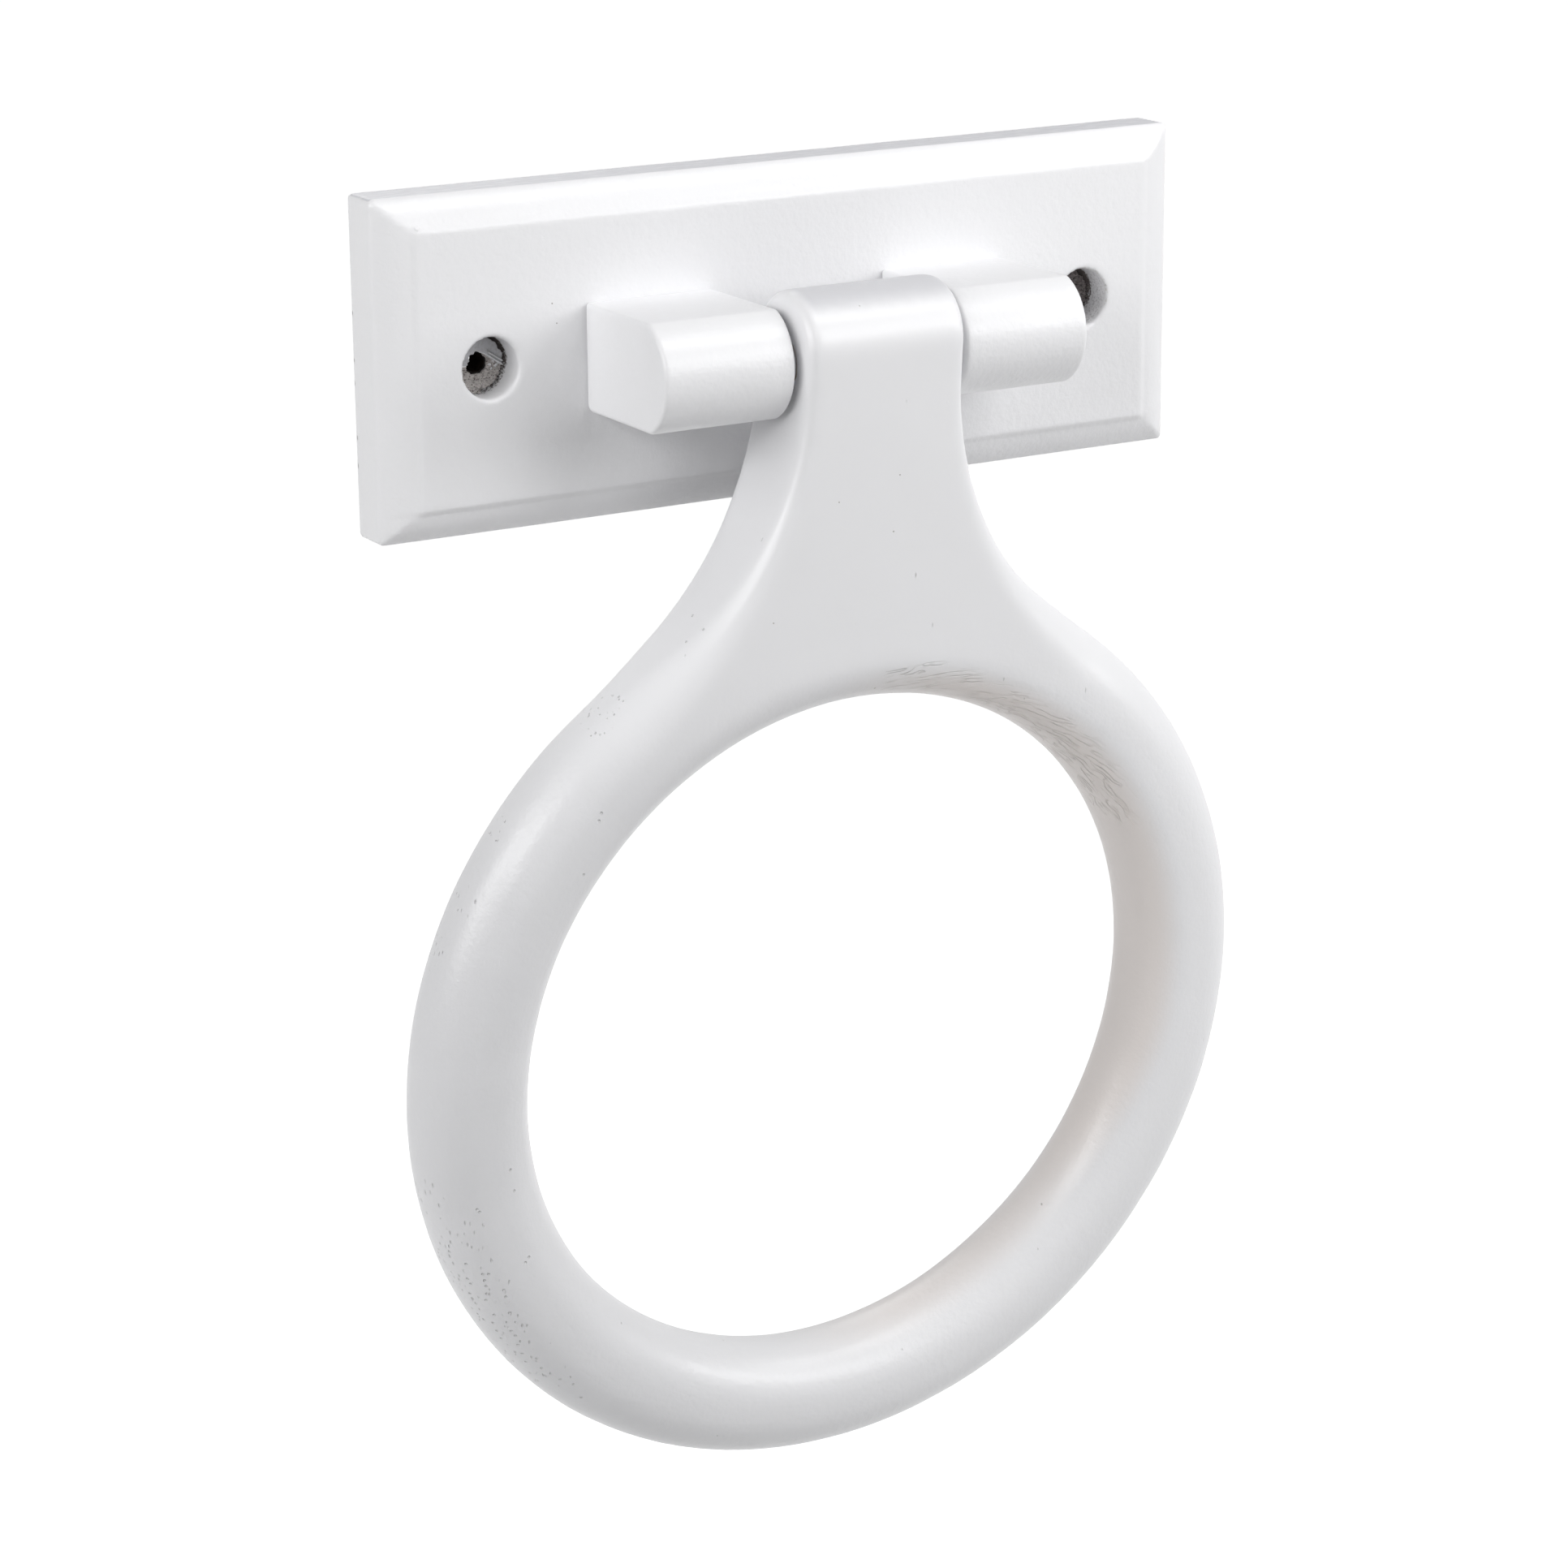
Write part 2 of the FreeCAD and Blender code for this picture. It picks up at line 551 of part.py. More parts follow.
def make_towel_ring():
    """Joins neck and ring into one piece of wood and hangs it on the pin."""
    neck = round_neck(make_neck_blank())
    sweep = make_ring_sweep()
    ring = doc.addObject("Part::Fuse", "towel_ring")
    ring.Label = "towel_ring"
    ring.Base = neck
    ring.Tool = sweep
    ring.Refine = True
    ring.setExpression("Placement", f"placement(vector(0; -1 * {PIN_STANDOFF}; 0); "
                                    "rotation(vector(1; 0; 0); Sizes.ring_lean))")
    doc.recompute()
    return ring


SUB_PARTS = [
    make_backplate(),
    make_knuckle("knuckle_left", -1),
    make_knuckle("knuckle_right", 1),
    make_hinge_pin(),
    make_fixing("knuckle_screw_left", -1),
    make_fixing("knuckle_screw_right", 1),
    make_towel_ring(),
]

doc.recompute()
for item in doc.Objects:
    if "Invalid" in item.State or "Error" in item.State:
        raise RuntimeError(f"{item.Name} failed: {item.State}")
for part in SUB_PARTS:
    if part.Shape.isNull() or not part.Shape.isValid() or len(part.Shape.Solids) != 1:
        raise RuntimeError(f"{part.Label} is not one valid solid")

os.makedirs("parts", exist_ok=True)
for part in SUB_PARTS:
    part.Shape.exportStep(os.path.join("parts", part.Label + ".step"))
    print(part.Label, "volume", round(part.Shape.Volume), "mm3")
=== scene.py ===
import math

import bmesh
import bpy
from mathutils import Matrix, Vector, noise


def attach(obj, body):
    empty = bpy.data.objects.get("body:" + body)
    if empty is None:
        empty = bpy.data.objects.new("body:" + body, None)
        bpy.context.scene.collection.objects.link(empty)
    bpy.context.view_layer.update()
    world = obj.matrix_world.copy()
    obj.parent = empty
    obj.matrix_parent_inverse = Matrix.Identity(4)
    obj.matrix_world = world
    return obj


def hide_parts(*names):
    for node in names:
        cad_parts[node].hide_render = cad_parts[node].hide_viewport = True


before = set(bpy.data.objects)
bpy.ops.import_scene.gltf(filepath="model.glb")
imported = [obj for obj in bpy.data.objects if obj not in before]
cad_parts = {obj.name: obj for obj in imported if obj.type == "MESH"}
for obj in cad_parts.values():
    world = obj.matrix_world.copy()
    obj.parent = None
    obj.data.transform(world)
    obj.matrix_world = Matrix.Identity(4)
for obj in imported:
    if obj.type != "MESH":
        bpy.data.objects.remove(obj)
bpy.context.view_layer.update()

# The white towel ring: a moulded wooden plate, two knuckles and a ring on a
# hidden dowel, all brushed with satin paint. Metres. The wall is Y = 0, the
# room lies towards -Y, Z is up, and the origin is midway between the two
# screw holes. Heights and sizes of paint marks are given in millimetres.

MM = 0.001
PLATE_FACE_Y = -13.3 * MM
RECESS_FLOOR_Y = -6.3 * MM
RECESS_RADIUS = 6.0 * MM
SCREW_HOLE_RADIUS = 2.0 * MM
SCREW_X = 67.5 * MM
# Where the square band at the wall ends and the moulding begins.
PLATE_BAND_Y = -9.4 * MM
PLATE_MIDDLE_Z = 0.5 * MM
# Half the width and half the height of the plate, and of its flat face.
PLATE_HALF = (90.4 * MM, 33.2 * MM)
FACE_HALF = (82.6 * MM, 26.9 * MM)
PLATE_TOP_Z = PLATE_MIDDLE_Z + PLATE_HALF[1]
PIN_Y = -37.1 * MM
# A little past the pin's end, inside each knuckle.
PIN_END_X = 34.0 * MM
# The stretch of the pin, from its middle outwards, that paint has reached.
PAINTED_PIN = (16.5 * MM, 20.1 * MM)
RING_CENTRE = Vector((0.0, -25.5, -141.0)) * MM
# The line round the middle of the ring's board.
RING_MIDDLE_RADIUS = 83.3 * MM
MERGE_DISTANCE = 2e-6

PAINT = (0.812, 0.812, 0.826, 1.0)
AGED_PAINT = (0.775, 0.775, 0.785, 1.0)
# Paint darkened for the ring's left side: thinner paint there, and painted shade.
THIN_PAINT_AND_SHADE = (0.70, 0.70, 0.715, 1.0)
THINNER_PAINT_AND_SHADE = (0.68, 0.68, 0.695, 1.0)
# Paint darkened as painted shade for the flap deep in the left recess.
SHADED_PAINT = (0.50, 0.50, 0.52, 1.0)
CHIPPED_PAINT = (0.55, 0.54, 0.54, 1.0)
# Painted shade on the plate's top edge.
PLATE_TOP_SHADE = (0.50, 0.50, 0.535, 1.0)
# Painted shade on the top of the neck.
NECK_TOP_SHADE = (0.60, 0.60, 0.625, 1.0)
WARM_UNDERCOAT = (0.83, 0.745, 0.69, 1.0)
SPECK_BROWN = (0.30, 0.28, 0.26, 1.0)
PORE_GREY = (0.40, 0.38, 0.36, 1.0)
WALL_DUST = (0.30, 0.285, 0.29, 1.0)
FLOOR_DUST = (0.36, 0.35, 0.345, 1.0)
RIM_FIBRE = (0.73, 0.715, 0.69, 1.0)
# Painted shade at the foot of the recess walls and down the screw holes.
FOOT_SHADE = (0.10, 0.085, 0.08, 1.0)
HOLE_SHADE = (0.03, 0.026, 0.024, 1.0)
BARE_FIBRE = (0.64, 0.605, 0.585, 1.0)
DARK_FIBRE = (0.11, 0.09, 0.08, 1.0)
# Darker fibres for the right recess's torn floor.
RIGHT_FLOOR_FIBRE = (0.30, 0.27, 0.265, 1.0)
RIGHT_FLOOR_DARK_FIBRE = (0.03, 0.024, 0.022, 1.0)
# Near black as painted shade down the screw holes, with a little grit.
HOLE_SHADE_BLACK = (0.010, 0.008, 0.007, 1.0)
HOLE_SHADE_GRIT = (0.045, 0.036, 0.030, 1.0)
BEECH_DARK = (0.60, 0.43, 0.27, 1.0)
BEECH_LIGHT = (0.74, 0.57, 0.38, 1.0)
BEECH_FLECK = (0.42, 0.27, 0.16, 1.0)
ZINC = (0.66, 0.66, 0.63, 1.0)
TARNISH = (0.46, 0.45, 0.42, 1.0)
FLOOR_GREY = (0.62, 0.62, 0.62, 1.0)
WHITE = (1.0, 1.0, 1.0, 1.0)

CAMERA_PLACE = Vector((-427.894, -745.514, 164.731)) * MM
# Yaw to the right, pitch and roll, in degrees.
CAMERA_TURN = (30.064, -16.919, -0.467)
LENS_MM = 99.92
SENSOR_MM = 36


# Camera

def set_camera():
    """The photograph's own viewpoint, found from the plate's edges and the ring."""
    yaw, pitch, roll = (math.radians(angle) for angle in CAMERA_TURN)
    ahead = Vector((
        math.sin(yaw) * math.cos(pitch),
        math.cos(yaw) * math.cos(pitch),
        math.sin(pitch),
    ))
    level_right = Vector((math.cos(yaw), -math.sin(yaw), 0))
    level_up = level_right.cross(ahead)
    right = math.cos(roll) * level_right + math.sin(roll) * level_up
    up = math.cos(roll) * level_up - math.sin(roll) * level_right
    lens = bpy.data.cameras.new("photo_camera")
    lens.sensor_width = SENSOR_MM
    lens.lens = LENS_MM
    lens.clip_start = 0.01
    lens.clip_end = 50
    camera = bpy.data.objects.new("photo_camera", lens)
    turn = Matrix((right, up, -ahead)).transposed().to_4x4()
    camera.matrix_world = Matrix.Translation(CAMERA_PLACE) @ turn
    bpy.context.scene.collection.objects.link(camera)
    bpy.context.scene.camera = camera


# Node building

def add(tree, kind, inputs=None, **settings):
    """A node with its settings, and with values or links for its inputs."""
    node = tree.nodes.new(kind)
    for name, value in settings.items():
        setattr(node, name, value)
    for name, value in (inputs or {}).items():
        if isinstance(value, bpy.types.NodeSocket):
            tree.links.new(value, node.inputs[name])
        else:
            node.inputs[name].default_value = value
    return node


def reckon(tree, operation, *values, clamp=False):
    """The result of one sum on values or links."""
    node = add(tree, "ShaderNodeMath", dict(enumerate(values)), operation=operation, use_clamp=clamp)
    return node.outputs[0]


def times(tree, *values):
    """The product of two or more values, multiplied from left to right."""
    product = values[0]
    for value in values[1:]:
        product = reckon(tree, "MULTIPLY", product, value)
    return product


def raised(tree, height, mask, amount):
    """The height with amount added where the mask is 1, in millimetres."""
    return reckon(tree, "MULTIPLY_ADD", mask, amount, height)


def either(tree, first, second):
    """The larger of two masks."""
    return reckon(tree, "MAXIMUM", first, second)


def distance(tree, first, second):
    return add(tree, "ShaderNodeVectorMath", {0: first, 1: second}, operation="DISTANCE").outputs["Value"]


def axes(tree, vector):
    """The X, Y and Z of a vector."""
    split = add(tree, "ShaderNodeSeparateXYZ", {"Vector": vector})
    return [split.outputs[axis] for axis in "XYZ"]


def mapped(tree, vector, **settings):
    return add(tree, "ShaderNodeMapping", {"Vector": vector, **settings}).outputs["Vector"]


def vary(tree, vector, size_mm, detail=2.0, roughness=0.5):
    """Smooth noise whose lumps are about size_mm across, from 0 to 1."""
    return add(tree, "ShaderNodeTexNoise", {
        "Vector": vector, "Scale": 1 / (size_mm * MM), "Detail": detail, "Roughness": roughness,
    }).outputs["Fac"]


def scatter(tree, vector, scale):
    """Scattered cells, and a random number for each in the colour's channels."""
    cells = add(tree, "ShaderNodeTexVoronoi", {"Vector": vector, "Scale": scale, "Randomness": 1.0})
    chance = add(tree, "ShaderNodeSeparateColor", {"Color": cells.outputs["Color"]})
    return cells, chance


def drawn_out(tree, vector, share):
    """The vector with its X at a share of its length, so that what is made
    from it is drawn out along X."""
    return mapped(tree, vector, Scale=(share, 1.0, 1.0))


def step_up(tree, value, low, high, to_low=0.0, to_high=1.0):
    """A smooth step from to_low to to_high while the value goes from low to high."""
    return add(tree, "ShaderNodeMapRange", {
        "Value": value, "From Min": low, "From Max": high, "To Min": to_low, "To Max": to_high,
    }, interpolation_type="SMOOTHSTEP").outputs["Result"]


def tint(tree, mask, under, over):
    """One colour over another where the mask is 1."""
    node = add(tree, "ShaderNodeMix", data_type="RGBA")
    for index, value in ((0, mask), (6, under), (7, over)):
        if isinstance(value, bpy.types.NodeSocket):
            tree.links.new(value, node.inputs[index])
        else:
            node.inputs[index].default_value = value
    return node.outputs[2]


def new_group(name, inputs, outputs):
    """An empty node group with named sockets, and its two end nodes."""
    group = bpy.data.node_groups.new(name, "ShaderNodeTree")
    for label, kind, value in inputs:
        socket = group.interface.new_socket(label, in_out="INPUT", socket_type=kind)
        if value is not None:
            socket.default_value = value
    for label, kind in outputs:
        group.interface.new_socket(label, in_out="OUTPUT", socket_type=kind)
    return group, group.nodes.new("NodeGroupInput"), group.nodes.new("NodeGroupOutput")


VALUE, VECTOR = "NodeSocketFloat", "NodeSocketVector"
NIB_SPACING = 3.4 * MM
NIB_SHARE = 0.14


def make_brushed_paint():
    """The skin of brushed satin paint: its orange peel, the soft ridges that a
    brush leaves along Stroke's X, a few dust nibs, and the slight unevenness
    of its tone. Height is in millimetres."""
    group, given, made = new_group(
        "brushed_paint",
        [("Vector", VECTOR, None), ("Stroke", VECTOR, None), ("Peel", VALUE, 0.006),
         ("Ridges", VALUE, 0.006), ("Nibs", VALUE, 0.02)],
        [("Height", VALUE), ("Tone", VALUE)])
    vector = given.outputs["Vector"]
    peel = vary(group, vector, 1.4, 2.0, 0.55)
    ridges = vary(group, drawn_out(group, given.outputs["Stroke"], 0.07), 0.9, 2.0)
    cells, chance = scatter(group, vector, 1 / NIB_SPACING)
    lone = reckon(group, "GREATER_THAN", chance.outputs["Red"], 1 - NIB_SHARE)
    nib = times(group, step_up(group, cells.outputs["Distance"], 0.02, 0.11, 1.0, 0.0), lone)
    height = times(group, peel, given.outputs["Peel"])
    height = raised(group, height, ridges, given.outputs["Ridges"])
    height = raised(group, height, nib, given.outputs["Nibs"])
    group.links.new(height, made.inputs["Height"])
    group.links.new(vary(group, vector, 22.0, 3.0), made.inputs["Tone"])
    return group


def make_open_pores():
    """Pores of the wood that the paint has not filled: small dents drawn out
    along the vector's X. Spacing is in millimetres, and Share is how many of
    the cells have one."""
    group, given, made = new_group(
        "open_pores",
        [("Vector", VECTOR, None), ("Spacing", VALUE, 1.0), ("Share", VALUE, 0.1)],
        [("Mask", VALUE)])
    vector = drawn_out(group, given.outputs["Vector"], 0.5)
    scale = reckon(group, "DIVIDE", 1 / MM, given.outputs["Spacing"])
    cells, chance = scatter(group, vector, scale)
    chosen = reckon(group, "LESS_THAN", chance.outputs["Red"], given.outputs["Share"])
    girth = step_up(group, chance.outputs["Green"], 0.0, 1.0, 0.19, 0.36)
    from_middle = reckon(group, "DIVIDE", cells.outputs["Distance"], girth)
    dent = step_up(group, from_middle, 0.0, 1.0, 1.0, 0.0)
    group.links.new(times(group, dent, chosen), made.inputs["Mask"])
    return group


def make_blemish():
    """One small round mark at a given place: 1 in its middle, 0 outside."""
    group, given, made = new_group(
        "blemish",
        [("Vector", VECTOR, None), ("Centre", VECTOR, None), ("Radius", VALUE, 0.3 * MM)],
        [("Mask", VALUE)])
    far = distance(group, given.outputs["Vector"], given.outputs["Centre"])
    from_middle = reckon(group, "DIVIDE", far, given.outputs["Radius"])
    group.links.new(step_up(group, from_middle, 0.35, 1.0, 1.0, 0.0), made.inputs["Mask"])
    return group


def make_wood_figure():
    """Straight grain along the vector's X: broad bands and fine fibres, each
    from 0 to 1, with their sizes across the grain in millimetres."""
    group, given, made = new_group(
        "wood_figure",
        [("Vector", VECTOR, None), ("Band Size", VALUE, 1.6), ("Fibre Size", VALUE, 0.22)],
        [("Band", VALUE), ("Fibre", VALUE)])
    for label, share, detail in (("Band", 0.06, 3.0), ("Fibre", 0.10, 4.0)):
        field = add(group, "ShaderNodeTexNoise", {
            "Vector": drawn_out(group, given.outputs["Vector"], share),
            "Scale": reckon(group, "DIVIDE", 1 / MM, given.outputs[f"{label} Size"]),
            "Detail": detail,
            "Roughness": 0.6,
        })
        group.links.new(field.outputs["Fac"], made.inputs[label])
    return group


BRUSHED_PAINT = make_brushed_paint()
OPEN_PORES = make_open_pores()
BLEMISH = make_blemish()
WOOD_FIGURE = make_wood_figure()


def use(tree, group, **inputs):
    """A group set in a tree, its inputs by name with _ for a blank."""
    node = tree.nodes.new("ShaderNodeGroup")
    node.node_tree = group
    for name, value in inputs.items():
        socket = node.inputs[name.replace("_", " ")]
        if isinstance(value, bpy.types.NodeSocket):
            tree.links.new(value, socket)
        else:
            socket.default_value = value
    return node


def new_material(name):
    """A material with its shader, its tree and the object's coordinates."""
    material = bpy.data.materials.new(name)
    material.use_nodes = True
    tree = material.node_tree
    shader = tree.nodes["Principled BSDF"]
    place = add(tree, "ShaderNodeTexCoord").outputs["Object"]
    return material, tree, shader, place


def finish_material(tree, shader, colour, roughness, height):
    """Wires a colour, a roughness and a height in millimetres to the shader."""
    tree.links.new(colour, shader.inputs["Base Color"])
    tree.links.new(roughness, shader.inputs["Roughness"])
    bump = add(tree, "ShaderNodeBump", {"Height": height, "Strength": 1.0, "Distance": MM})
    tree.links.new(bump.outputs["Normal"], shader.inputs["Normal"])


def mark_all(tree, place, marks):
    """One mask for a list of marks, each a centre and a radius in millimetres."""
    whole = None
    for centre, radius in marks:
        mark = use(tree, BLEMISH, Vector=place, Centre=[c * MM for c in centre], Radius=radius * MM)
        mask = mark.outputs["Mask"]
        whole = mask if whole is None else either(tree, whole, mask)
    return whole


# Marks in the paint, each a place on the surface and a radius. Specks are
# dark, chips are shallow and grey, and a lump stands out.
PLATE_SPECKS = [
    ((-54.3, -13.3, 11.2), 0.22),
    ((-53.4, -13.3, 7.3), 0.19),
]
PLATE_CHIPS = [
    ((-90.4, -0.8, 11.0), 0.55),
    ((-90.4, -0.9, 2.0), 0.50),
    ((-90.4, -0.7, -2.5), 0.60),
    ((-90.4, -1.0, -13.0), 0.55),
    ((-90.4, -0.8, -18.5), 0.65),
]
PLATE_LUMPS = [
    ((-82.0, -13.1, 28.2), 0.75),
]
RING_SPECKS = [
    ((3.3, -46.3, -22.9), 0.24),
    ((-10.2, -45.9, -26.7), 0.20),
    ((2.4, -45.3, -34.2), 0.24),
    ((-23.9, -44.1, -49.2), 0.22),
    ((1.3, -40.0, -66.8), 0.30),
    ((-63.8, -41.0, -93.6), 0.30),
    ((-63.9, -41.2, -94.6), 0.26),
    ((-92.2, -30.0, -154.9), 0.34),
    ((-86.4, -33.0, -158.9), 0.30),
]
# Open pits in the ring's end grain, each a place on the surface.
PIT_RADIUS = 0.36
RING_PITS = [
    (-86, -34.3, -160.8), (-85.5, -34.3, -161.4), (-89.7, -23.6, -172.8), (-89.3, -27.8, -171.2),
    (-86.8, -30.1, -173.6), (-86, -28.9, -177.3), (-85.4, -29, -178.5), (-84, -31.7, -175.8),
    (-83, -32.3, -175.8), (-83.5, -31.4, -177.3), (-83.1, -31.2, -178.7), (-85, -27.6, -181.2),
    (-84.4, -27.5, -182.4), (-83.7, -27.5, -183.6), (-82.7, -30.6, -180.6), (-82.6, -29.9, -182.3),
    (-79.9, -32.5, -179.8), (-79.4, -32.3, -181.4), (-82.7, -26, -186.7), (-80.7, -29.5, -186),
    (-80.4, -28.2, -188.3), (-79.4, -27.7, -190.5), (-78.3, -27.3, -192.5), (-78.3, -31.5, -185.4),
    (-77.3, -30, -190.1), (-76.4, -30, -191.3), (-75.5, -29.2, -193.8), (-74.3, -28.5, -196.3),
    (-73.1, -27.7, -198.6), (-71.4, -25.9, -202.2), (-71.7, -29.7, -197.5), (-70.3, -28.9, -200.2),
    (-69.3, -28, -202.4), (-66.4, -29.3, -203.5), (-63.7, -29.8, -205), (-61.4, -28.6, -208.9),
    (-79, -35.2, -153.6), (-78.1, -34.8, -158.3), (-74.8, -33.8, -173.4), (-75.6, -33.8, -174.4),
    (-61.1, -41.2, -83.7), (-60.6, -41.3, -82.2), (-64.1, -40.1, -94.3), (-35.9, -33.5, -48.3),
    (-36.6, -38.9, -49.7), (-39.5, -37.3, -52.1),
]
# Soft balls on the ring, each a middle and a radius. The end grain is open at
# the lower left and in spots up the left side, the grain has torn along the
# inner edge at the upper right, and planing lines run down the left side.
PORE_ZONES = [
    ((-93.0, -26.0, -160.0), 7.0),
    ((-89.0, -30.0, -167.0), 8.0),
    ((-87.5, -27.5, -175.0), 9.5),
    ((-82.5, -30.0, -181.0), 9.5),
    ((-79.5, -30.0, -187.0), 9.5),
    ((-75.5, -30.0, -193.0), 9.5),
    ((-71.0, -27.0, -201.0), 9.0),
    ((-85.0, -31.0, -99.0), 6.0),
    ((-90.0, -27.0, -110.0), 6.0),
    ((-78.0, -28.0, -86.0), 6.0),
    ((-56.0, -33.5, -64.0), 8.0),
]
WRINKLE_ZONES = [
    ((6.0, -42.0, -66.0), 5.5),
    ((13.0, -42.0, -66.5), 6.5),
    ((21.0, -41.5, -68.5), 7.0),
    ((29.0, -40.0, -72.5), 7.5),
    ((37.0, -38.5, -77.0), 7.5),
    ((44.5, -37.5, -82.0), 7.5),
    ((51.5, -36.5, -88.0), 8.0),
    ((57.5, -35.5, -95.0), 8.0),
    ((62.0, -35.0, -102.5), 7.5),
]
PLANED_ZONES = [
    ((-86.0, -28.0, -100.0), 20.0),
    ((-91.0, -33.0, -120.0), 22.0),
    ((-90.0, -34.0, -146.0), 22.0),
]


def mark_zones(tree, place, zones):
    """A soft mask that fades from the middle of each zone to its rim."""
    whole = None
    for centre, radius in zones:
        far = distance(tree, place, [c * MM for c in centre])
        mask = step_up(tree, far, 0.45 * radius * MM, radius * MM, 1.0, 0.0)
        whole = mask if whole is None else either(tree, whole, mask)
    return whole


def mark_drilling(tree, place):
    """Four masks for the drilled holes: dark painted shade in a gritty band at the
    foot of each recess's wall, near-black painted shade down the screw's hole,
    the torn wood that shows on the ragged rim of the face, and the dust on the right recess's wall."""
    x, y, z = axes(tree, place)
    across = reckon(tree, "SUBTRACT", reckon(tree, "ABSOLUTE", x), SCREW_X)
    apart = add(tree, "ShaderNodeCombineXYZ", {"X": across, "Y": 0.0, "Z": z}).outputs["Vector"]
    from_axis = add(tree, "ShaderNodeVectorMath", {0: apart}, operation="LENGTH").outputs["Value"]
    grit = vary(tree, place, 0.45, 4.0, 0.7)
    inside = step_up(tree, from_axis, RECESS_RADIUS + 0.25 * MM, RECESS_RADIUS + 0.45 * MM, 1.0, 0.0)
    in_front = step_up(tree, y, -1.6 * MM, -0.8 * MM, 1.0, 0.0)

    # Dark painted shade at the foot of the recess wall, strongest towards its top.
    low = step_up(tree, y, -9.4 * MM, -6.5 * MM, 0.0, 1.0)
    upper = step_up(tree, z, -4.0 * MM, 3.0 * MM, 0.42, 0.62)
    foot = step_up(tree, reckon(tree, "MULTIPLY_ADD", low, upper, grit), 0.76, 1.02)
    foot = times(tree, foot, inside, in_front)

    # Near-black painted shade down the screw's hole, wider than the hole, because the
    # torn wood leaves a wider mouth round it.
    past_hole = reckon(tree, "SUBTRACT", from_axis, SCREW_HOLE_RADIUS)
    hole = times(tree, step_up(tree, past_hole, 1.5 * MM, 1.9 * MM, 1.0, 0.0), in_front)

    below_face = step_up(tree, y, PLATE_FACE_Y + 0.6 * MM, PLATE_FACE_Y + 1.6 * MM)
    on_right = step_up(tree, x, 0.0, 1.0 * MM)
    dust = times(tree, step_up(tree, grit, 0.46, 0.66, 0.0, 0.6), on_right)
    dust = times(tree, dust, below_face, times(tree, inside, in_front))

    band = times(tree, step_up(tree, from_axis, RECESS_RADIUS - 0.3 * MM, RECESS_RADIUS), inside)
    at_face = step_up(tree, y, PLATE_FACE_Y + 0.5 * MM, PLATE_FACE_Y + 0.9 * MM, 1.0, 0.0)
    corner = step_up(tree, reckon(tree, "ADD", z, across), 1.0 * MM, 5.0 * MM)
    torn = step_up(tree, grit, 0.50, 0.60)
    rim = times(tree, times(tree, band, at_face), times(tree, torn, corner))
    return foot, hole, rim, dust


def mark_top_edge_shade(tree, place):
    """The plate's top edge, greyed in streaks as painted shade, since little light falls on it from
    above.
    """
    _, y, z = axes(tree, place)
    top = step_up(tree, z, PLATE_TOP_Z - 0.5 * MM, PLATE_TOP_Z - 0.15 * MM)
    band = step_up(tree, y, PLATE_BAND_Y + 0.1 * MM, PLATE_BAND_Y + 0.5 * MM)
    streaks = vary(tree, drawn_out(tree, place, 0.25), 1.2, 4.0, 0.6)
    # Where the streaks lay the painted shade.
    thin = step_up(tree, streaks, 0.25, 0.6, 0.65, 1.0)
    return times(tree, top, band, thin)


def mark_neck_top_shade(tree, place):
    """The end grain on top of the neck, greyed as painted shade where it faces up and gets little light.
    """
    x, _, z = axes(tree, place)
    ragged = reckon(tree, "MULTIPLY_ADD", vary(tree, place, 2.5, 3.0), 0.8 * MM, z)
    top = step_up(tree, ragged, 9.2 * MM, 13.6 * MM)
    off_corner = step_up(tree, x, -17.0 * MM, -14.0 * MM)
    return times(tree, top, off_corner)


def paint_tone(tree, skin):
    """The colour and the roughness of the white paint, a little uneven."""
    aged = step_up(tree, skin.outputs["Tone"], 0.3, 0.7, 0.0, 0.16)
    colour = tint(tree, aged, PAINT, AGED_PAINT)
    roughness = step_up(tree, skin.outputs["Tone"], 0.25, 0.75, 0.31, 0.37)
    return colour, roughness


def make_plate_paint():
    """Satin white on the plate and the knuckles, brushed along X."""
    material, tree, shader, place = new_material("painted_wood_plate")
    skin = use(tree, BRUSHED_PAINT, Vector=place, Stroke=place, Peel=0.10, Ridges=0.03, Nibs=0.026)
    pores = use(tree, OPEN_PORES, Vector=place, Spacing=0.9, Share=0.004).outputs["Mask"]
    specks = mark_all(tree, place, PLATE_SPECKS)
    chips = mark_all(tree, place, PLATE_CHIPS)
    lumps = mark_all(tree, place, PLATE_LUMPS)
    foot, hole, rim, dust = mark_drilling(tree, place)
    colour, roughness = paint_tone(tree, skin)
    # Painted shade on the plate's top edge.
    colour = tint(tree, mark_top_edge_shade(tree, place), colour, PLATE_TOP_SHADE)
    colour = tint(tree, specks, colour, SPECK_BROWN)
    colour = tint(tree, chips, colour, CHIPPED_PAINT)
    colour = tint(tree, rim, colour, RIM_FIBRE)
    colour = tint(tree, dust, colour, WALL_DUST)
    # Painted shade at the foot of the recess walls and down the screw holes.
    colour = tint(tree, foot, colour, FOOT_SHADE)
    colour = tint(tree, hole, colour, HOLE_SHADE)
    height = skin.outputs["Height"]
    for mask, amount in ((pores, -0.03), (chips, -0.25), (lumps, 0.18), (rim, -0.08), (foot, -0.05)):
        height = raised(tree, height, mask, amount)
    foot_and_hole = either(tree, foot, hole)
    roughness = reckon(tree, "MULTIPLY_ADD", foot_and_hole, 0.6, roughness, clamp=True)
    finish_material(tree, shader, colour, roughness, height)
    return material


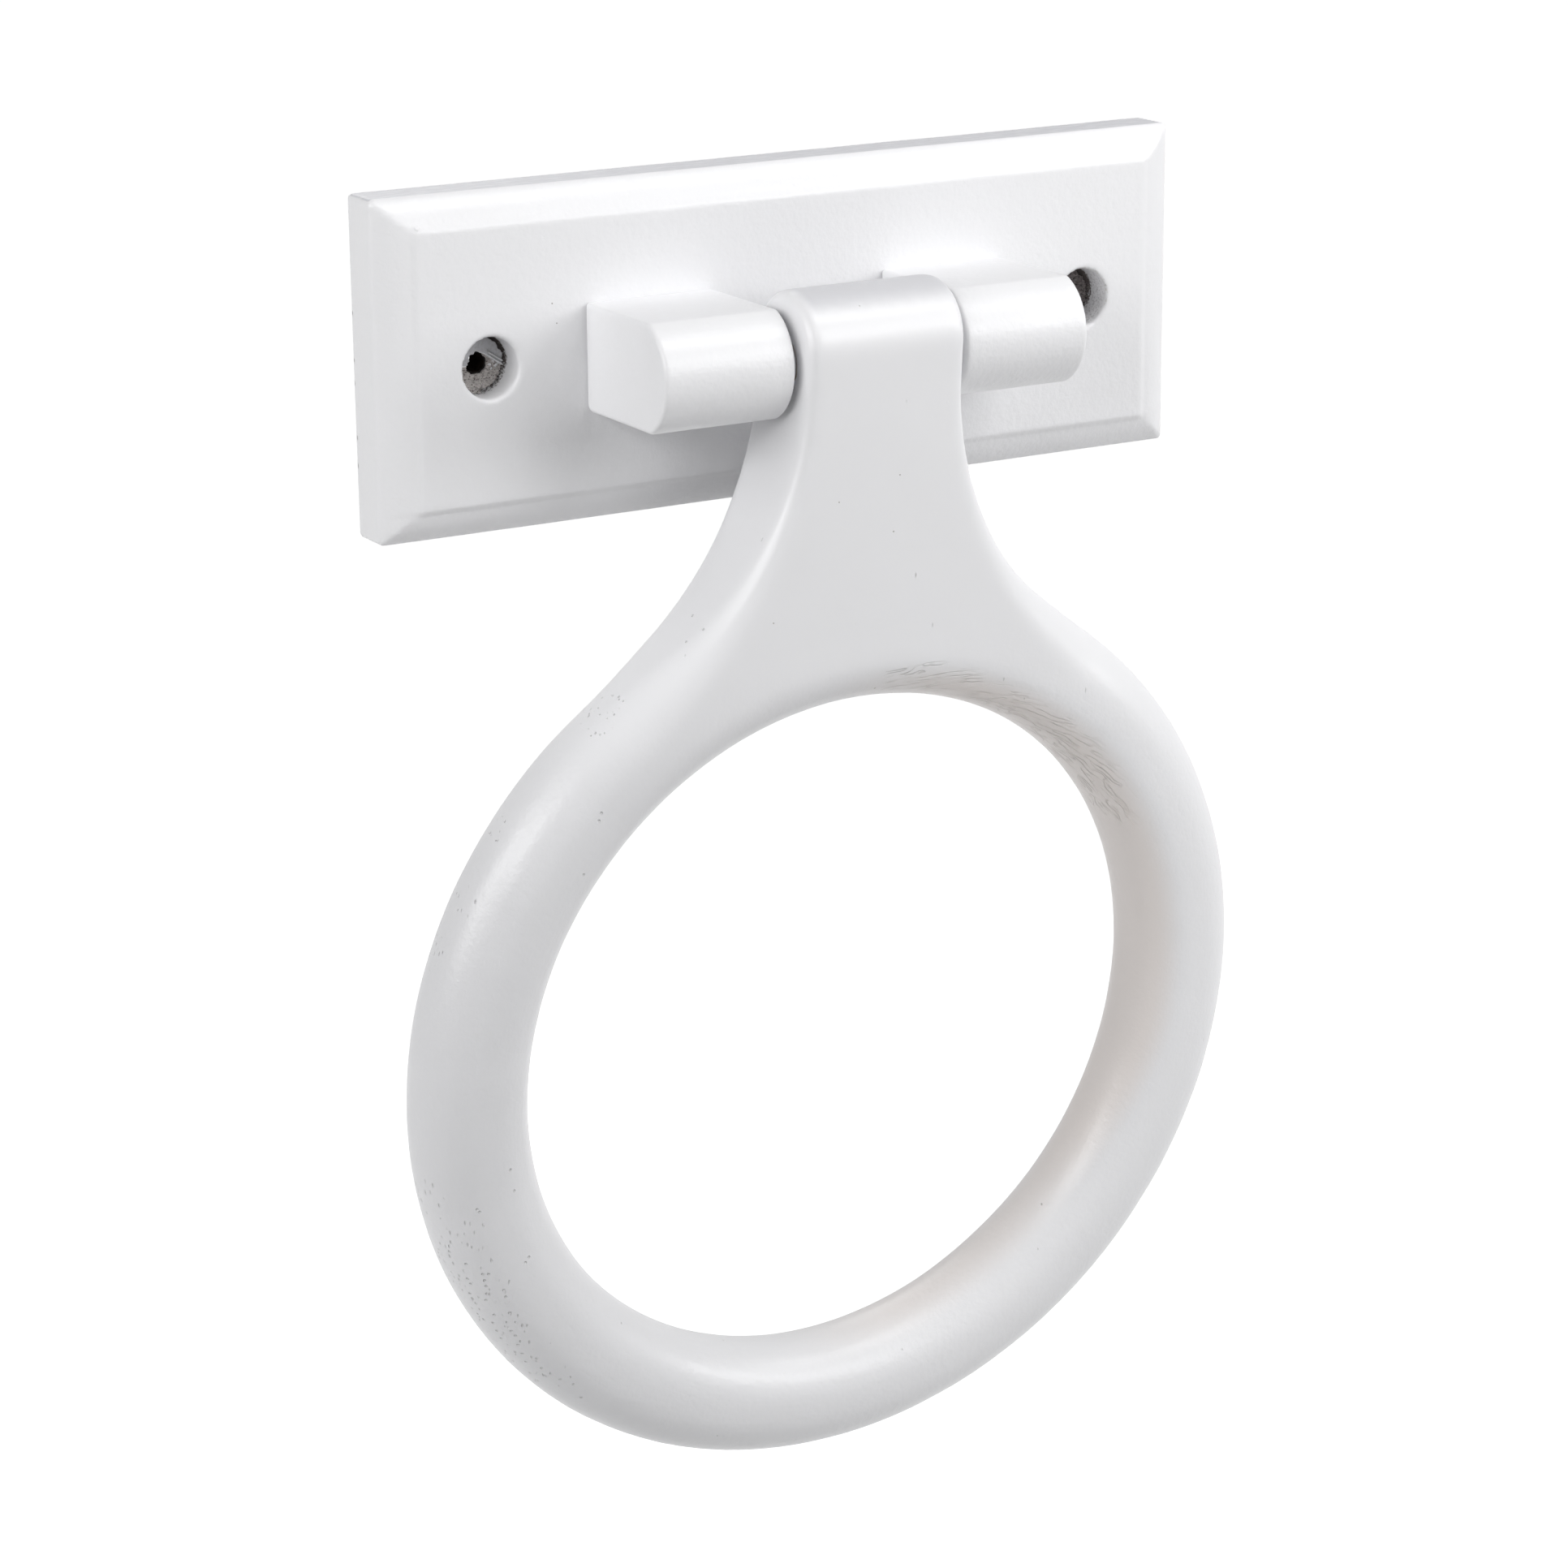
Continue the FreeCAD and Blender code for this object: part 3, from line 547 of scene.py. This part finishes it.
def lay_round_ring(tree, place):
    """How far a point is to the right of the ring's centre, above it and from
    its axis, and a vector whose X runs round the ring."""
    x, y, z = axes(tree, mapped(tree, place, Location=-RING_CENTRE))
    radius = reckon(tree, "SQRT", reckon(tree, "ADD", times(tree, x, x), times(tree, z, z)))
    angle = reckon(tree, "ARCTAN2", x, times(tree, z, -1.0))
    along = times(tree, angle, RING_MIDDLE_RADIUS)
    round_ring = add(tree, "ShaderNodeCombineXYZ", {"X": along, "Y": radius, "Z": y}).outputs["Vector"]
    return x, z, radius, round_ring


def mark_wrinkles(tree, place, x, radius, round_ring):
    """Long shallow folds of torn grain beside the opening's edge, bent a little
    and in patches."""
    bend = add(tree, "ShaderNodeTexNoise", {"Vector": place, "Scale": 1 / (9 * MM), "Detail": 2.0})
    bend = add(tree, "ShaderNodeVectorMath", {
        0: bend.outputs["Color"], 1: (-0.5, -0.5, -0.5)}, operation="ADD").outputs["Vector"]
    bent = add(tree, "ShaderNodeVectorMath", {
        0: bend, 1: (3 * MM, 3 * MM, 3 * MM), 2: round_ring}, operation="MULTIPLY_ADD").outputs["Vector"]
    slanted = mapped(tree, bent, Rotation=(0, 0, math.radians(12)))
    furrow = vary(tree, drawn_out(tree, slanted, 0.05), 1.4, 1.0)
    furrow = reckon(tree, "ABSOLUTE", reckon(tree, "SUBTRACT", furrow, 0.5))
    furrow = step_up(tree, furrow, 0.0, 0.055, 1.0, 0.0)
    patch = step_up(tree, vary(tree, drawn_out(tree, place, 0.5), 3.0, 1.0), 0.36, 0.52, 0.25, 1.0)
    limit = step_up(tree, x, 5.0 * MM, 30.0 * MM, 78.0 * MM, 74.5 * MM)
    near_edge = step_up(tree, reckon(tree, "SUBTRACT", radius, limit), 0.0, 5.0 * MM, 1.0, 0.0)
    torn = times(tree, mark_zones(tree, place, WRINKLE_ZONES), near_edge)
    return times(tree, furrow, times(tree, patch, torn))


def make_ring_paint():
    """Satin white on the ring, brushed round it. Its board's grain runs up and
    down, so the pores are open where the ring cuts across the grain. The wood
    has torn into wrinkles inside the upper right of the opening, and the paint
    is thin and warm round the opening's right half."""
    material, tree, shader, place = new_material("painted_wood_ring")
    x, z, radius, round_ring = lay_round_ring(tree, place)
    upright = mapped(tree, place, Rotation=(0, math.radians(90), 0))
    below_neck = step_up(tree, z, 60.0 * MM, 85.0 * MM, 1.0, 0.15)
    skin = use(tree, BRUSHED_PAINT, Vector=place, Stroke=round_ring, Peel=times(tree, below_neck, 0.095),
               Ridges=times(tree, below_neck, 0.03), Nibs=0.024)
    open_grain = step_up(tree, mark_zones(tree, place, PORE_ZONES), 0.0, 1.0, 0.004, 0.62)
    long_grain = drawn_out(tree, upright, 0.62)
    pores = use(tree, OPEN_PORES, Vector=long_grain, Spacing=0.85, Share=open_grain).outputs["Mask"]
    pits = mark_all(tree, place, [(pit, PIT_RADIUS) for pit in RING_PITS])
    specks = mark_all(tree, place, RING_SPECKS)
    folds = mark_wrinkles(tree, place, x, radius, round_ring)
    planed_and_shaded_left = mark_zones(tree, place, PLANED_ZONES)
    planed = times(tree, vary(tree, drawn_out(tree, upright, 0.03), 1.1, 3.0), planed_and_shaded_left)

    colour, roughness = paint_tone(tree, skin)
    # Darker towards the left below the neck: thinner paint there, and painted shade on the ring's left
    # side.
    thin_coat_and_shade = times(tree, below_neck, step_up(tree, x, -60.0 * MM, 50.0 * MM, 0.62, 0.0))
    colour = tint(tree, thin_coat_and_shade, colour, THIN_PAINT_AND_SHADE)
    # A little darker again in the planed zones: thinner paint, and painted shade.
    colour = tint(tree, times(tree, planed_and_shaded_left, 0.4), colour, THINNER_PAINT_AND_SHADE)
    # Painted shade on the top of the neck.
    colour = tint(tree, mark_neck_top_shade(tree, place), colour, NECK_TOP_SHADE)
    dark = specks
    for mask, strength in ((pores, 0.32), (folds, 0.36), (pits, 0.24)):
        dark = either(tree, dark, times(tree, mask, strength))
    colour = tint(tree, dark, colour, PORE_GREY)
    reach = step_up(tree, z, -55.0 * MM, -10.0 * MM, 75.5 * MM, 80.0 * MM)
    inner = step_up(tree, reckon(tree, "SUBTRACT", radius, reach), -6.0 * MM, 0.0, 1.0, 0.0)
    right_half = step_up(tree, x, -15.0 * MM, 25.0 * MM)
    warm = times(tree, inner, right_half, 0.58)
    colour = tint(tree, warm, colour, WARM_UNDERCOAT)
    height = skin.outputs["Height"]
    for mask, amount in ((pores, -0.26), (planed, 0.018), (specks, -0.10), (folds, -0.18), (pits, -0.24)):
        height = raised(tree, height, mask, amount)
    finish_material(tree, shader, colour, roughness, height)
    return material


def make_torn_fibre(name, pale_fibre, dark_fibre):
    """Bare wood that a drill has torn: grey brown fibres, dark between."""
    material, tree, shader, place = new_material(name)
    figure = use(tree, WOOD_FIGURE, Vector=place, Band_Size=0.8, Fibre_Size=0.22)
    clumps = vary(tree, drawn_out(tree, place, 0.7), 0.42, 4.0, 0.72)
    light = step_up(tree, clumps, 0.37, 0.52)
    colour = tint(tree, light, dark_fibre, pale_fibre)
    strand = step_up(tree, figure.outputs["Fibre"], 0.48, 0.62, 0.0, 0.6)
    colour = tint(tree, strand, colour, [min(1.0, 1.25 * c) for c in pale_fibre])
    roughness = step_up(tree, clumps, 0.3, 0.7, 0.95, 0.75)
    height = reckon(tree, "ADD", times(tree, clumps, 0.16), times(tree, figure.outputs["Fibre"], 0.10))
    finish_material(tree, shader, colour, roughness, height)
    shader.inputs["Specular IOR Level"].default_value = 0.25
    return material


def make_hole_shade_wood():
    """Near-black wood far down a drilled hole: painted shade for its depth, with a little grit."""
    material, tree, shader, place = new_material("hole_shade_wood")
    grit = vary(tree, place, 0.5, 4.0, 0.7)
    colour = tint(tree, grit, HOLE_SHADE_BLACK, HOLE_SHADE_GRIT)
    roughness = step_up(tree, grit, 0.3, 0.7, 0.9, 1.0)
    finish_material(tree, shader, colour, roughness, times(tree, grit, 0.15))
    shader.inputs["Specular IOR Level"].default_value = 0.0
    return material


def make_recess_paint(name, tone, grime):
    """The rubbed paint at the bottom of a screw recess, in the tone given, which
    for the flap is darkened as painted shade. Grime is how much dust lies on it."""
    material, tree, shader, place = new_material(name)
    skin = use(tree, BRUSHED_PAINT, Vector=place, Stroke=place, Peel=0.02, Ridges=0.012, Nibs=0.02)
    dust = step_up(tree, vary(tree, place, 0.7, 4.0, 0.65), 0.46, 0.70, 0.0, grime)
    colour = tint(tree, dust, tone, FLOOR_DUST)
    roughness = step_up(tree, skin.outputs["Tone"], 0.25, 0.75, 0.5, 0.62)
    finish_material(tree, shader, colour, roughness, skin.outputs["Height"])
    return material


def make_dowel_wood():
    """Bare beech for the hidden pin, with paint on it in the two gaps."""
    material, tree, shader, place = new_material("hardwood_dowel")
    figure = use(tree, WOOD_FIGURE, Vector=place, Band_Size=1.5, Fibre_Size=0.25)
    band = step_up(tree, figure.outputs["Band"], 0.35, 0.65)
    colour = tint(tree, band, BEECH_DARK, BEECH_LIGHT)
    fleck = step_up(tree, figure.outputs["Fibre"], 0.62, 0.72, 0.0, 0.5)
    colour = tint(tree, fleck, colour, BEECH_FLECK)
    off_middle = reckon(tree, "ABSOLUTE", axes(tree, place)[0])
    start, end = PAINTED_PIN
    past_start = step_up(tree, off_middle, start - 0.3 * MM, start + 0.3 * MM)
    short_of_end = step_up(tree, off_middle, end - 0.3 * MM, end + 0.3 * MM, 1.0, 0.0)
    colour = tint(tree, times(tree, past_start, short_of_end), colour, PAINT)
    roughness = step_up(tree, figure.outputs["Fibre"], 0.3, 0.7, 0.55, 0.7)
    finish_material(tree, shader, colour, roughness, times(tree, figure.outputs["Fibre"], 0.02))
    return material


def make_zinc():
    """Dull zinc on the two hidden screws, with faint turning marks."""
    material, tree, shader, place = new_material("zinc_screw")
    marks = vary(tree, mapped(tree, place, Scale=(1.0, 6.0, 1.0)), 0.9, 3.0)
    tarnish = vary(tree, place, 2.5, 4.0)
    colour = tint(tree, step_up(tree, tarnish, 0.4, 0.7), ZINC, TARNISH)
    roughness = step_up(tree, marks, 0.3, 0.7, 0.3, 0.48)
    finish_material(tree, shader, colour, roughness, times(tree, marks, 0.01))
    shader.inputs["Metallic"].default_value = 1.0
    return material


# Pieces

def new_piece(name, mesh, materials, body):
    """A piece of the scene from a finished mesh, with its materials, on its body."""
    piece = bpy.data.objects.new(name, mesh)
    bpy.context.scene.collection.objects.link(piece)
    for material in materials:
        mesh.materials.append(material)
    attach(piece, body)
    return piece


def even_skin(node, name, face_size):
    """A merged copy of a solid, remade as an even skin of small faces."""
    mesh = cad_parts[node].data.copy()
    mesh.name = name
    shell = bmesh.new()
    shell.from_mesh(mesh)
    bmesh.ops.remove_doubles(shell, verts=shell.verts, dist=MERGE_DISTANCE)
    shell.to_mesh(mesh)
    shell.free()
    draft = bpy.data.objects.new(name + "_draft", mesh)
    bpy.context.scene.collection.objects.link(draft)
    remesh = draft.modifiers.new("even_skin", "REMESH")
    remesh.mode = "VOXEL"
    remesh.voxel_size = face_size
    evaluated = draft.evaluated_get(bpy.context.evaluated_depsgraph_get())
    skin = bpy.data.meshes.new_from_object(evaluated)
    skin.name = name
    skin.materials.clear()
    bpy.data.objects.remove(draft)
    bpy.data.meshes.remove(mesh)
    return skin


def hand_finish(mesh, passes, waver_mm, waver_size_mm, keep_out, seed):
    """Softens the edges as sanding and paint do, and lets the flats waver a
    little. keep_out says which points stay as they are, and seed sets the
    waver apart from the other pieces'."""
    shell = bmesh.new()
    shell.from_mesh(mesh)
    free = [v for v in shell.verts if not keep_out(v.co)]
    for _ in range(passes):
        bmesh.ops.smooth_vert(
            shell, verts=free, factor=0.5, use_axis_x=True, use_axis_y=True, use_axis_z=True)
    shell.normal_update()
    shift = Vector((seed * 7.3, seed * 3.1, seed * 5.7))
    for vert in free:
        spot = vert.co / (waver_size_mm * MM) + shift
        waver = noise.noise(spot) + 0.4 * noise.noise(spot * 2.3)
        vert.co += vert.normal * waver * waver_mm * MM
    for face in shell.faces:
        face.smooth = True
    shell.to_mesh(mesh)
    shell.free()


def near_pin(point, radius):
    return math.hypot(point.y - PIN_Y, point.z) < radius


# How deep the step is where the moulding leaves the face, and how wide.
STEP = 0.42 * MM
LOWER_STEP = 0.62 * MM
STEP_WIDTH = 0.55 * MM


def sink_moulding(mesh):
    """Sets the moulding back by a small step where it leaves the face, deepest
    along the bottom, fading to nothing at its outer edge."""
    for vert in mesh.vertices:
        if vert.co.y > PLATE_BAND_Y - 0.15 * MM:
            continue
        off_middle = (abs(vert.co.x), abs(vert.co.z - PLATE_MIDDLE_Z))
        beyond = [off - half for off, half in zip(off_middle, FACE_HALF)]
        share = max(b / (PLATE_HALF[i] - FACE_HALF[i]) for i, b in enumerate(beyond))
        if share <= 0:
            continue
        climb = min(1.0, max(beyond) / STEP_WIDTH)
        climb = climb * climb * (3 - 2 * climb)
        below_face = vert.co.z < PLATE_MIDDLE_Z - FACE_HALF[1]
        depth = LOWER_STEP if below_face else STEP
        vert.co.y += depth * climb * max(0.0, 1 - share) ** 0.8


def make_plate(paint):
    """The plate's painted skin. Its drilled holes and its back stay sharp."""
    mesh = even_skin("backplate", "plate_skin", face_size=0.58 * MM)

    def left_sharp(point):
        off_hole = min(math.hypot(point.x - x, point.z) for x in (-SCREW_X, SCREW_X))
        return off_hole < RECESS_RADIUS + 1.2 * MM or point.y > -0.4 * MM

    sink_moulding(mesh)
    hand_finish(mesh, passes=1, waver_mm=0.05, waver_size_mm=17.0, keep_out=left_sharp, seed=1)
    piece = new_piece("plate_skin", mesh, [paint], "bracket")
    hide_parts("backplate")


def make_knuckle(side, paint):
    """A knuckle's painted skin. Its seat and the pin's hole stay sharp."""
    name = f"knuckle_{side}"
    mesh = even_skin(name, f"{name}_skin", face_size=0.35 * MM)

    def left_sharp(point):
        seated = point.y > PLATE_FACE_Y - 0.3 * MM
        return seated or near_pin(point, 5.0 * MM) and abs(point.x) < PIN_END_X

    seed = 2 if side == "left" else 3
    hand_finish(mesh, passes=2, waver_mm=0.04, waver_size_mm=12.0, keep_out=left_sharp, seed=seed)
    piece = new_piece(f"{name}_skin", mesh, [paint], "bracket")
    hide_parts(name)


def make_ring(paint):
    """The ring's painted skin. The pin's hole stays sharp."""
    mesh = even_skin("towel_ring", "ring_skin", face_size=0.825 * MM)

    def left_sharp(point):
        return near_pin(point, 5.5 * MM)

    hand_finish(mesh, passes=4, waver_mm=0.09, waver_size_mm=19.0, keep_out=left_sharp, seed=4)
    piece = new_piece("ring_skin", mesh, [paint], "ring")
    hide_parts("towel_ring")


def between(points, x):
    """The height at x of a line through points, flat past its ends."""
    if x <= points[0][0]:
        return points[0][1]
    for (x0, z0), (x1, z1) in zip(points, points[1:]):
        if x <= x1:
            return z0 + (z1 - z0) * (x - x0) / (x1 - x0)
    return points[-1][1]


# The broken lip of the painted flap, x and z from the hole's axis in mm.
LIP = [
    (-6.0, -0.5), (-2.7, -0.35), (-2.1, 0.5), (-1.3, 1.5),
    (0.2, 2.1), (1.3, 1.7), (2.8, 0.7), (5.4, -1.0),
]
# Chips of paint: x and z from the hole's axis, size in mm, turn in degrees.
PALE_CHIPS = [
    (2.6, -0.5, 0.42, 20),
    (3.3, 0.1, 0.34, 70),
    (3.9, -0.8, 0.46, -35),
    (2.9, -1.3, 0.30, 110),
    (4.4, -0.4, 0.26, 15),
]
# The flap's strands of paint repeat about every 0.7 mm above the lip.
STRAND_TURNS = 9.0
# A torn floor's grid and its edges, in millimetres from the hole's axis. It
# has a mouth over the screw's hole, and a groove runs round its right side.
TORN_CELLS = 120
TORN_GRID_HALF = 5.9
TORN_REACH = 5.85
MOUTH_RADIUS = 2.25
GROOVE_RADIUS = 5.05
# What the faces of a torn floor are: places in its list of finishes. The
# flap's paint is darkened as painted shade.
SHADED_FLAP_PAINT, BROKEN_PAINT = 1, 2


def torn_height(x, z, left, shift):
    """How far the torn wood stands up from the recess's flat floor, in mm."""
    spot = Vector((x * 0.9, z * 1.4, 0.0)) + shift
    fine = noise.noise(spot * 3.4) * 0.30 + noise.noise(spot * 7.5) * 0.22
    over = z - between(LIP, x)
    if not left or over <= 0:
        swell = 0.30 * noise.noise(spot * 0.9) + 0.10 * max(0.0, -z - 2.0)
        return max(0.62 + swell + fine, 0.06)
    height = 1.42 + 0.26 * math.exp(-over / 0.28) - 0.07 * over + 0.05 * noise.noise(spot * 1.1)
    if x > 1.9 and over < 1.5:
        strand = math.sin(over * STRAND_TURNS + 0.4 * noise.noise(spot))
        height += 0.30 * strand * min(1.0, (x - 1.9) / 0.8) - 0.12
    return height


def make_torn_floor(side, finishes):
    """The torn bottom of a screw recess: rough fibres, and in the left one a
    smooth painted flap that ends in a broken lip over the screw's hole, and a
    few chips of paint beside it."""
    left = side == "left"
    centre_x = -SCREW_X if left else SCREW_X
    shift = Vector((3.1, 8.2, 1.4)) if left else Vector((11.3, 2.9, 6.6))
    shell = bmesh.new()
    bmesh.ops.create_grid(shell, x_segments=TORN_CELLS, y_segments=TORN_CELLS, size=TORN_GRID_HALF)
    gone = []
    for vert in shell.verts:
        mouth = MOUTH_RADIUS + 0.35 * noise.noise(vert.co * 1.3 + shift) - 0.10 * vert.co.x
        if not mouth - 0.09 < vert.co.length < 6.05:
            gone.append(vert)
        elif vert.co.length < mouth:
            vert.co *= mouth / vert.co.length
    bmesh.ops.delete(shell, geom=gone, context="VERTS")
    for vert in shell.verts:
        x, z = vert.co.x, vert.co.y
        out = math.hypot(x, z)
        groove = GROOVE_RADIUS + 0.40 * noise.noise(Vector((x, z, 0)) * 1.6 + shift)
        edge = groove if x > 0.5 else TORN_REACH
        if out > edge:
            x, z = x * edge / out, z * edge / out
        height = torn_height(x, z, left, shift)
        vert.co = Vector((centre_x + x * MM, RECESS_FLOOR_Y - height * MM, z * MM))
    rims = [e for e in shell.edges if e.is_boundary]
    skirt = bmesh.ops.extrude_edge_only(shell, edges=rims)["geom"]
    for vert in (g for g in skirt if isinstance(g, bmesh.types.BMVert)):
        vert.co.y = RECESS_FLOOR_Y + 0.02 * MM
    bmesh.ops.recalc_face_normals(shell, faces=shell.faces)
    for face in shell.faces if left else ():
        middle = face.calc_center_median()
        x, z = (middle.x - centre_x) / MM, middle.z / MM
        over = z - between(LIP, x)
        strand = x > 2.2 and over < 1.45 and math.sin(over * STRAND_TURNS) > 0.25
        # The flap takes paint darkened as painted shade, and its lip and strands the full white.
        if over > -0.05:
            face.material_index = BROKEN_PAINT if over < 0.24 or strand else SHADED_FLAP_PAINT
    for x, z, size, turn in PALE_CHIPS if left else ():
        chip = bmesh.ops.create_icosphere(shell, subdivisions=2, radius=0.75 * size * MM)["verts"]
        bmesh.ops.scale(shell, verts=chip, vec=(1.3, 0.45, 0.8))
        for vert in chip:
            vert.co *= 1 + 0.45 * noise.noise(vert.co / (0.22 * MM) + shift * size)
        bmesh.ops.rotate(shell, verts=chip, matrix=Matrix.Rotation(math.radians(turn), 3, "Y"))
        seat = RECESS_FLOOR_Y - (torn_height(x, z, left, shift) + 0.5 * size) * MM
        bmesh.ops.translate(shell, verts=chip, vec=(centre_x + x * MM, seat, z * MM))
        for face in {f for v in chip for f in v.link_faces}:
            face.material_index = BROKEN_PAINT
    for face in shell.faces:
        face.smooth = True
    mesh = bpy.data.meshes.new(f"torn_floor_{side}")
    shell.to_mesh(mesh)
    shell.free()
    new_piece(f"torn_floor_{side}", mesh, finishes, "bracket")


LINING_SIDES = 48
LINING_STEPS = 8


def make_hole_lining(side, hole_shade_wood):
    """The rough wall of a screw's hole, from the recess's floor to the back, near black as painted shade.
    """
    shell = bmesh.new()
    bmesh.ops.create_circle(shell, segments=LINING_SIDES, radius=SCREW_HOLE_RADIUS - 0.2 * MM)
    bmesh.ops.rotate(shell, verts=shell.verts, matrix=Matrix.Rotation(math.radians(90), 3, "X"))
    ring = list(shell.edges)
    depth = -RECESS_FLOOR_Y - 0.1 * MM
    for _ in range(LINING_STEPS):
        grown = bmesh.ops.extrude_edge_only(shell, edges=ring)["geom"]
        verts = [g for g in grown if isinstance(g, bmesh.types.BMVert)]
        ring = [g for g in grown if isinstance(g, bmesh.types.BMEdge)]
        bmesh.ops.translate(shell, verts=verts, vec=(0, -depth / LINING_STEPS, 0))
    for vert in shell.verts:
        rough = 0.05 * noise.noise(vert.co / (0.6 * MM)) * MM
        outward = Vector((vert.co.x, 0, vert.co.z)).normalized()
        vert.co += outward * min(rough, 0.0)
    centre_x = -SCREW_X if side == "left" else SCREW_X
    bmesh.ops.translate(shell, verts=shell.verts, vec=(centre_x, -0.05 * MM, 0))
    for face in shell.faces:
        to_axis = Vector((centre_x, 0, 0)) - face.calc_center_median()
        if face.normal.dot(Vector((to_axis.x, 0, to_axis.z))) < 0:
            face.normal_flip()
        face.smooth = True
    mesh = bpy.data.meshes.new(f"screw_hole_lining_{side}")
    shell.to_mesh(mesh)
    shell.free()
    new_piece(f"screw_hole_lining_{side}", mesh, [hole_shade_wood], "bracket")


# Floor, world and lamps

FLOOR_HALF_WIDTH = 12.0
FLOOR_Z = -0.46
FLOOR_GLOW = 0.9
WORLD_STRENGTH = 0.1
LAMP_AIM = Vector((0, -0.03, -0.08))
LAMPS = [
    # name, place, side of its square in metres, watts
    ("front_right", (0.60, -1.10, 0.45), 0.5, 3.9),
    ("right", (0.80, -0.60, 0.20), 0.35, 2.9),
    ("over_right", (0.50, -0.25, 0.42), 0.3, 1.1),
    ("over", (0.15, -0.30, 0.50), 0.25, 1.05),
    ("front_left", (-0.90, -0.60, 0.40), 0.35, 3.2),
    ("high_left", (-1.00, -0.15, 0.50), 0.5, 2.4),
    ("left", (-0.80, -0.10, 0.15), 0.3, 1.5),
    ("behind", (0.30, 1.20, 0.70), 0.6, 2.0),
]


def seen_directly(tree):
    """1 for rays from the camera, through glass and off gloss, else 0."""
    ray = add(tree, "ShaderNodeLightPath")
    direct = either(tree, ray.outputs["Is Camera Ray"], ray.outputs["Is Transmission Ray"])
    return either(tree, direct, ray.outputs["Is Glossy Ray"])


def make_floor():
    """A pale floor that shows white to the camera and keeps a faint shadow."""
    shell = bmesh.new()
    bmesh.ops.create_grid(shell, x_segments=1, y_segments=1, size=FLOOR_HALF_WIDTH)
    bmesh.ops.translate(shell, verts=shell.verts, vec=(0, 0, FLOOR_Z))
    mesh = bpy.data.meshes.new("pale_floor")
    shell.to_mesh(mesh)
    shell.free()
    floor = bpy.data.objects.new("pale_floor", mesh)
    bpy.context.scene.collection.objects.link(floor)
    material, tree, shader, _ = new_material("pale_floor")
    shader.inputs["Base Color"].default_value = FLOOR_GREY
    shader.inputs["Roughness"].default_value = 0.9
    shader.inputs["Emission Color"].default_value = WHITE
    glow = times(tree, seen_directly(tree), FLOOR_GLOW)
    tree.links.new(glow, shader.inputs["Emission Strength"])
    mesh.materials.append(material)


def set_world():
    """A white surround, bright to the camera and weak as a light."""
    world = bpy.data.worlds.new("studio")
    world.use_nodes = True
    tree = world.node_tree
    backdrop = tree.nodes["Background"]
    backdrop.inputs["Color"].default_value = WHITE
    level = step_up(tree, seen_directly(tree), 0.0, 1.0, WORLD_STRENGTH, 1.0)
    tree.links.new(level, backdrop.inputs["Strength"])
    bpy.context.scene.world = world


def set_lamps():
    """Soft square lamps, each turned towards the middle of the towel ring."""
    for name, place, size, power in LAMPS:
        light = bpy.data.lights.new(name, "AREA")
        light.shape = "SQUARE"
        light.size = size
        light.energy = power
        lamp = bpy.data.objects.new(name, light)
        lamp.location = place
        lamp.rotation_euler = (LAMP_AIM - Vector(place)).to_track_quat("-Z", "Y").to_euler()
        bpy.context.scene.collection.objects.link(lamp)


set_camera()
set_world()
set_lamps()
make_floor()
plate_paint = make_plate_paint()
ring_paint = make_ring_paint()
torn_fibre = {
    "left": make_torn_fibre("torn_fibre", BARE_FIBRE, DARK_FIBRE),
    # The right recess's floor is darker than the left's.
    "right": make_torn_fibre("right_torn_fibre", RIGHT_FLOOR_FIBRE, RIGHT_FLOOR_DARK_FIBRE),
}
# Paint darkened as painted shade for the flap in the left recess.
shaded_recess_paint = make_recess_paint("shaded_recess_paint", SHADED_PAINT, 0.6)
broken_paint = make_recess_paint("broken_paint", PAINT, 0.15)
hole_shade_wood = make_hole_shade_wood()
make_plate(plate_paint)
for side in ("left", "right"):
    make_knuckle(side, plate_paint)
    make_torn_floor(side, [torn_fibre[side], shaded_recess_paint, broken_paint])
    make_hole_lining(side, hole_shade_wood)
make_ring(ring_paint)

for node, material in (
    ("backplate", plate_paint), ("knuckle_left", plate_paint), ("knuckle_right", plate_paint),
    ("towel_ring", ring_paint), ("hinge_pin", make_dowel_wood()),
):
    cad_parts[node].data.materials.clear()
    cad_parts[node].data.materials.append(material)
zinc = make_zinc()
for node in ("knuckle_screw_left", "knuckle_screw_right"):
    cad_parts[node].data.materials.clear()
    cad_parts[node].data.materials.append(zinc)

bpy.context.scene.view_settings.view_transform = "Standard"
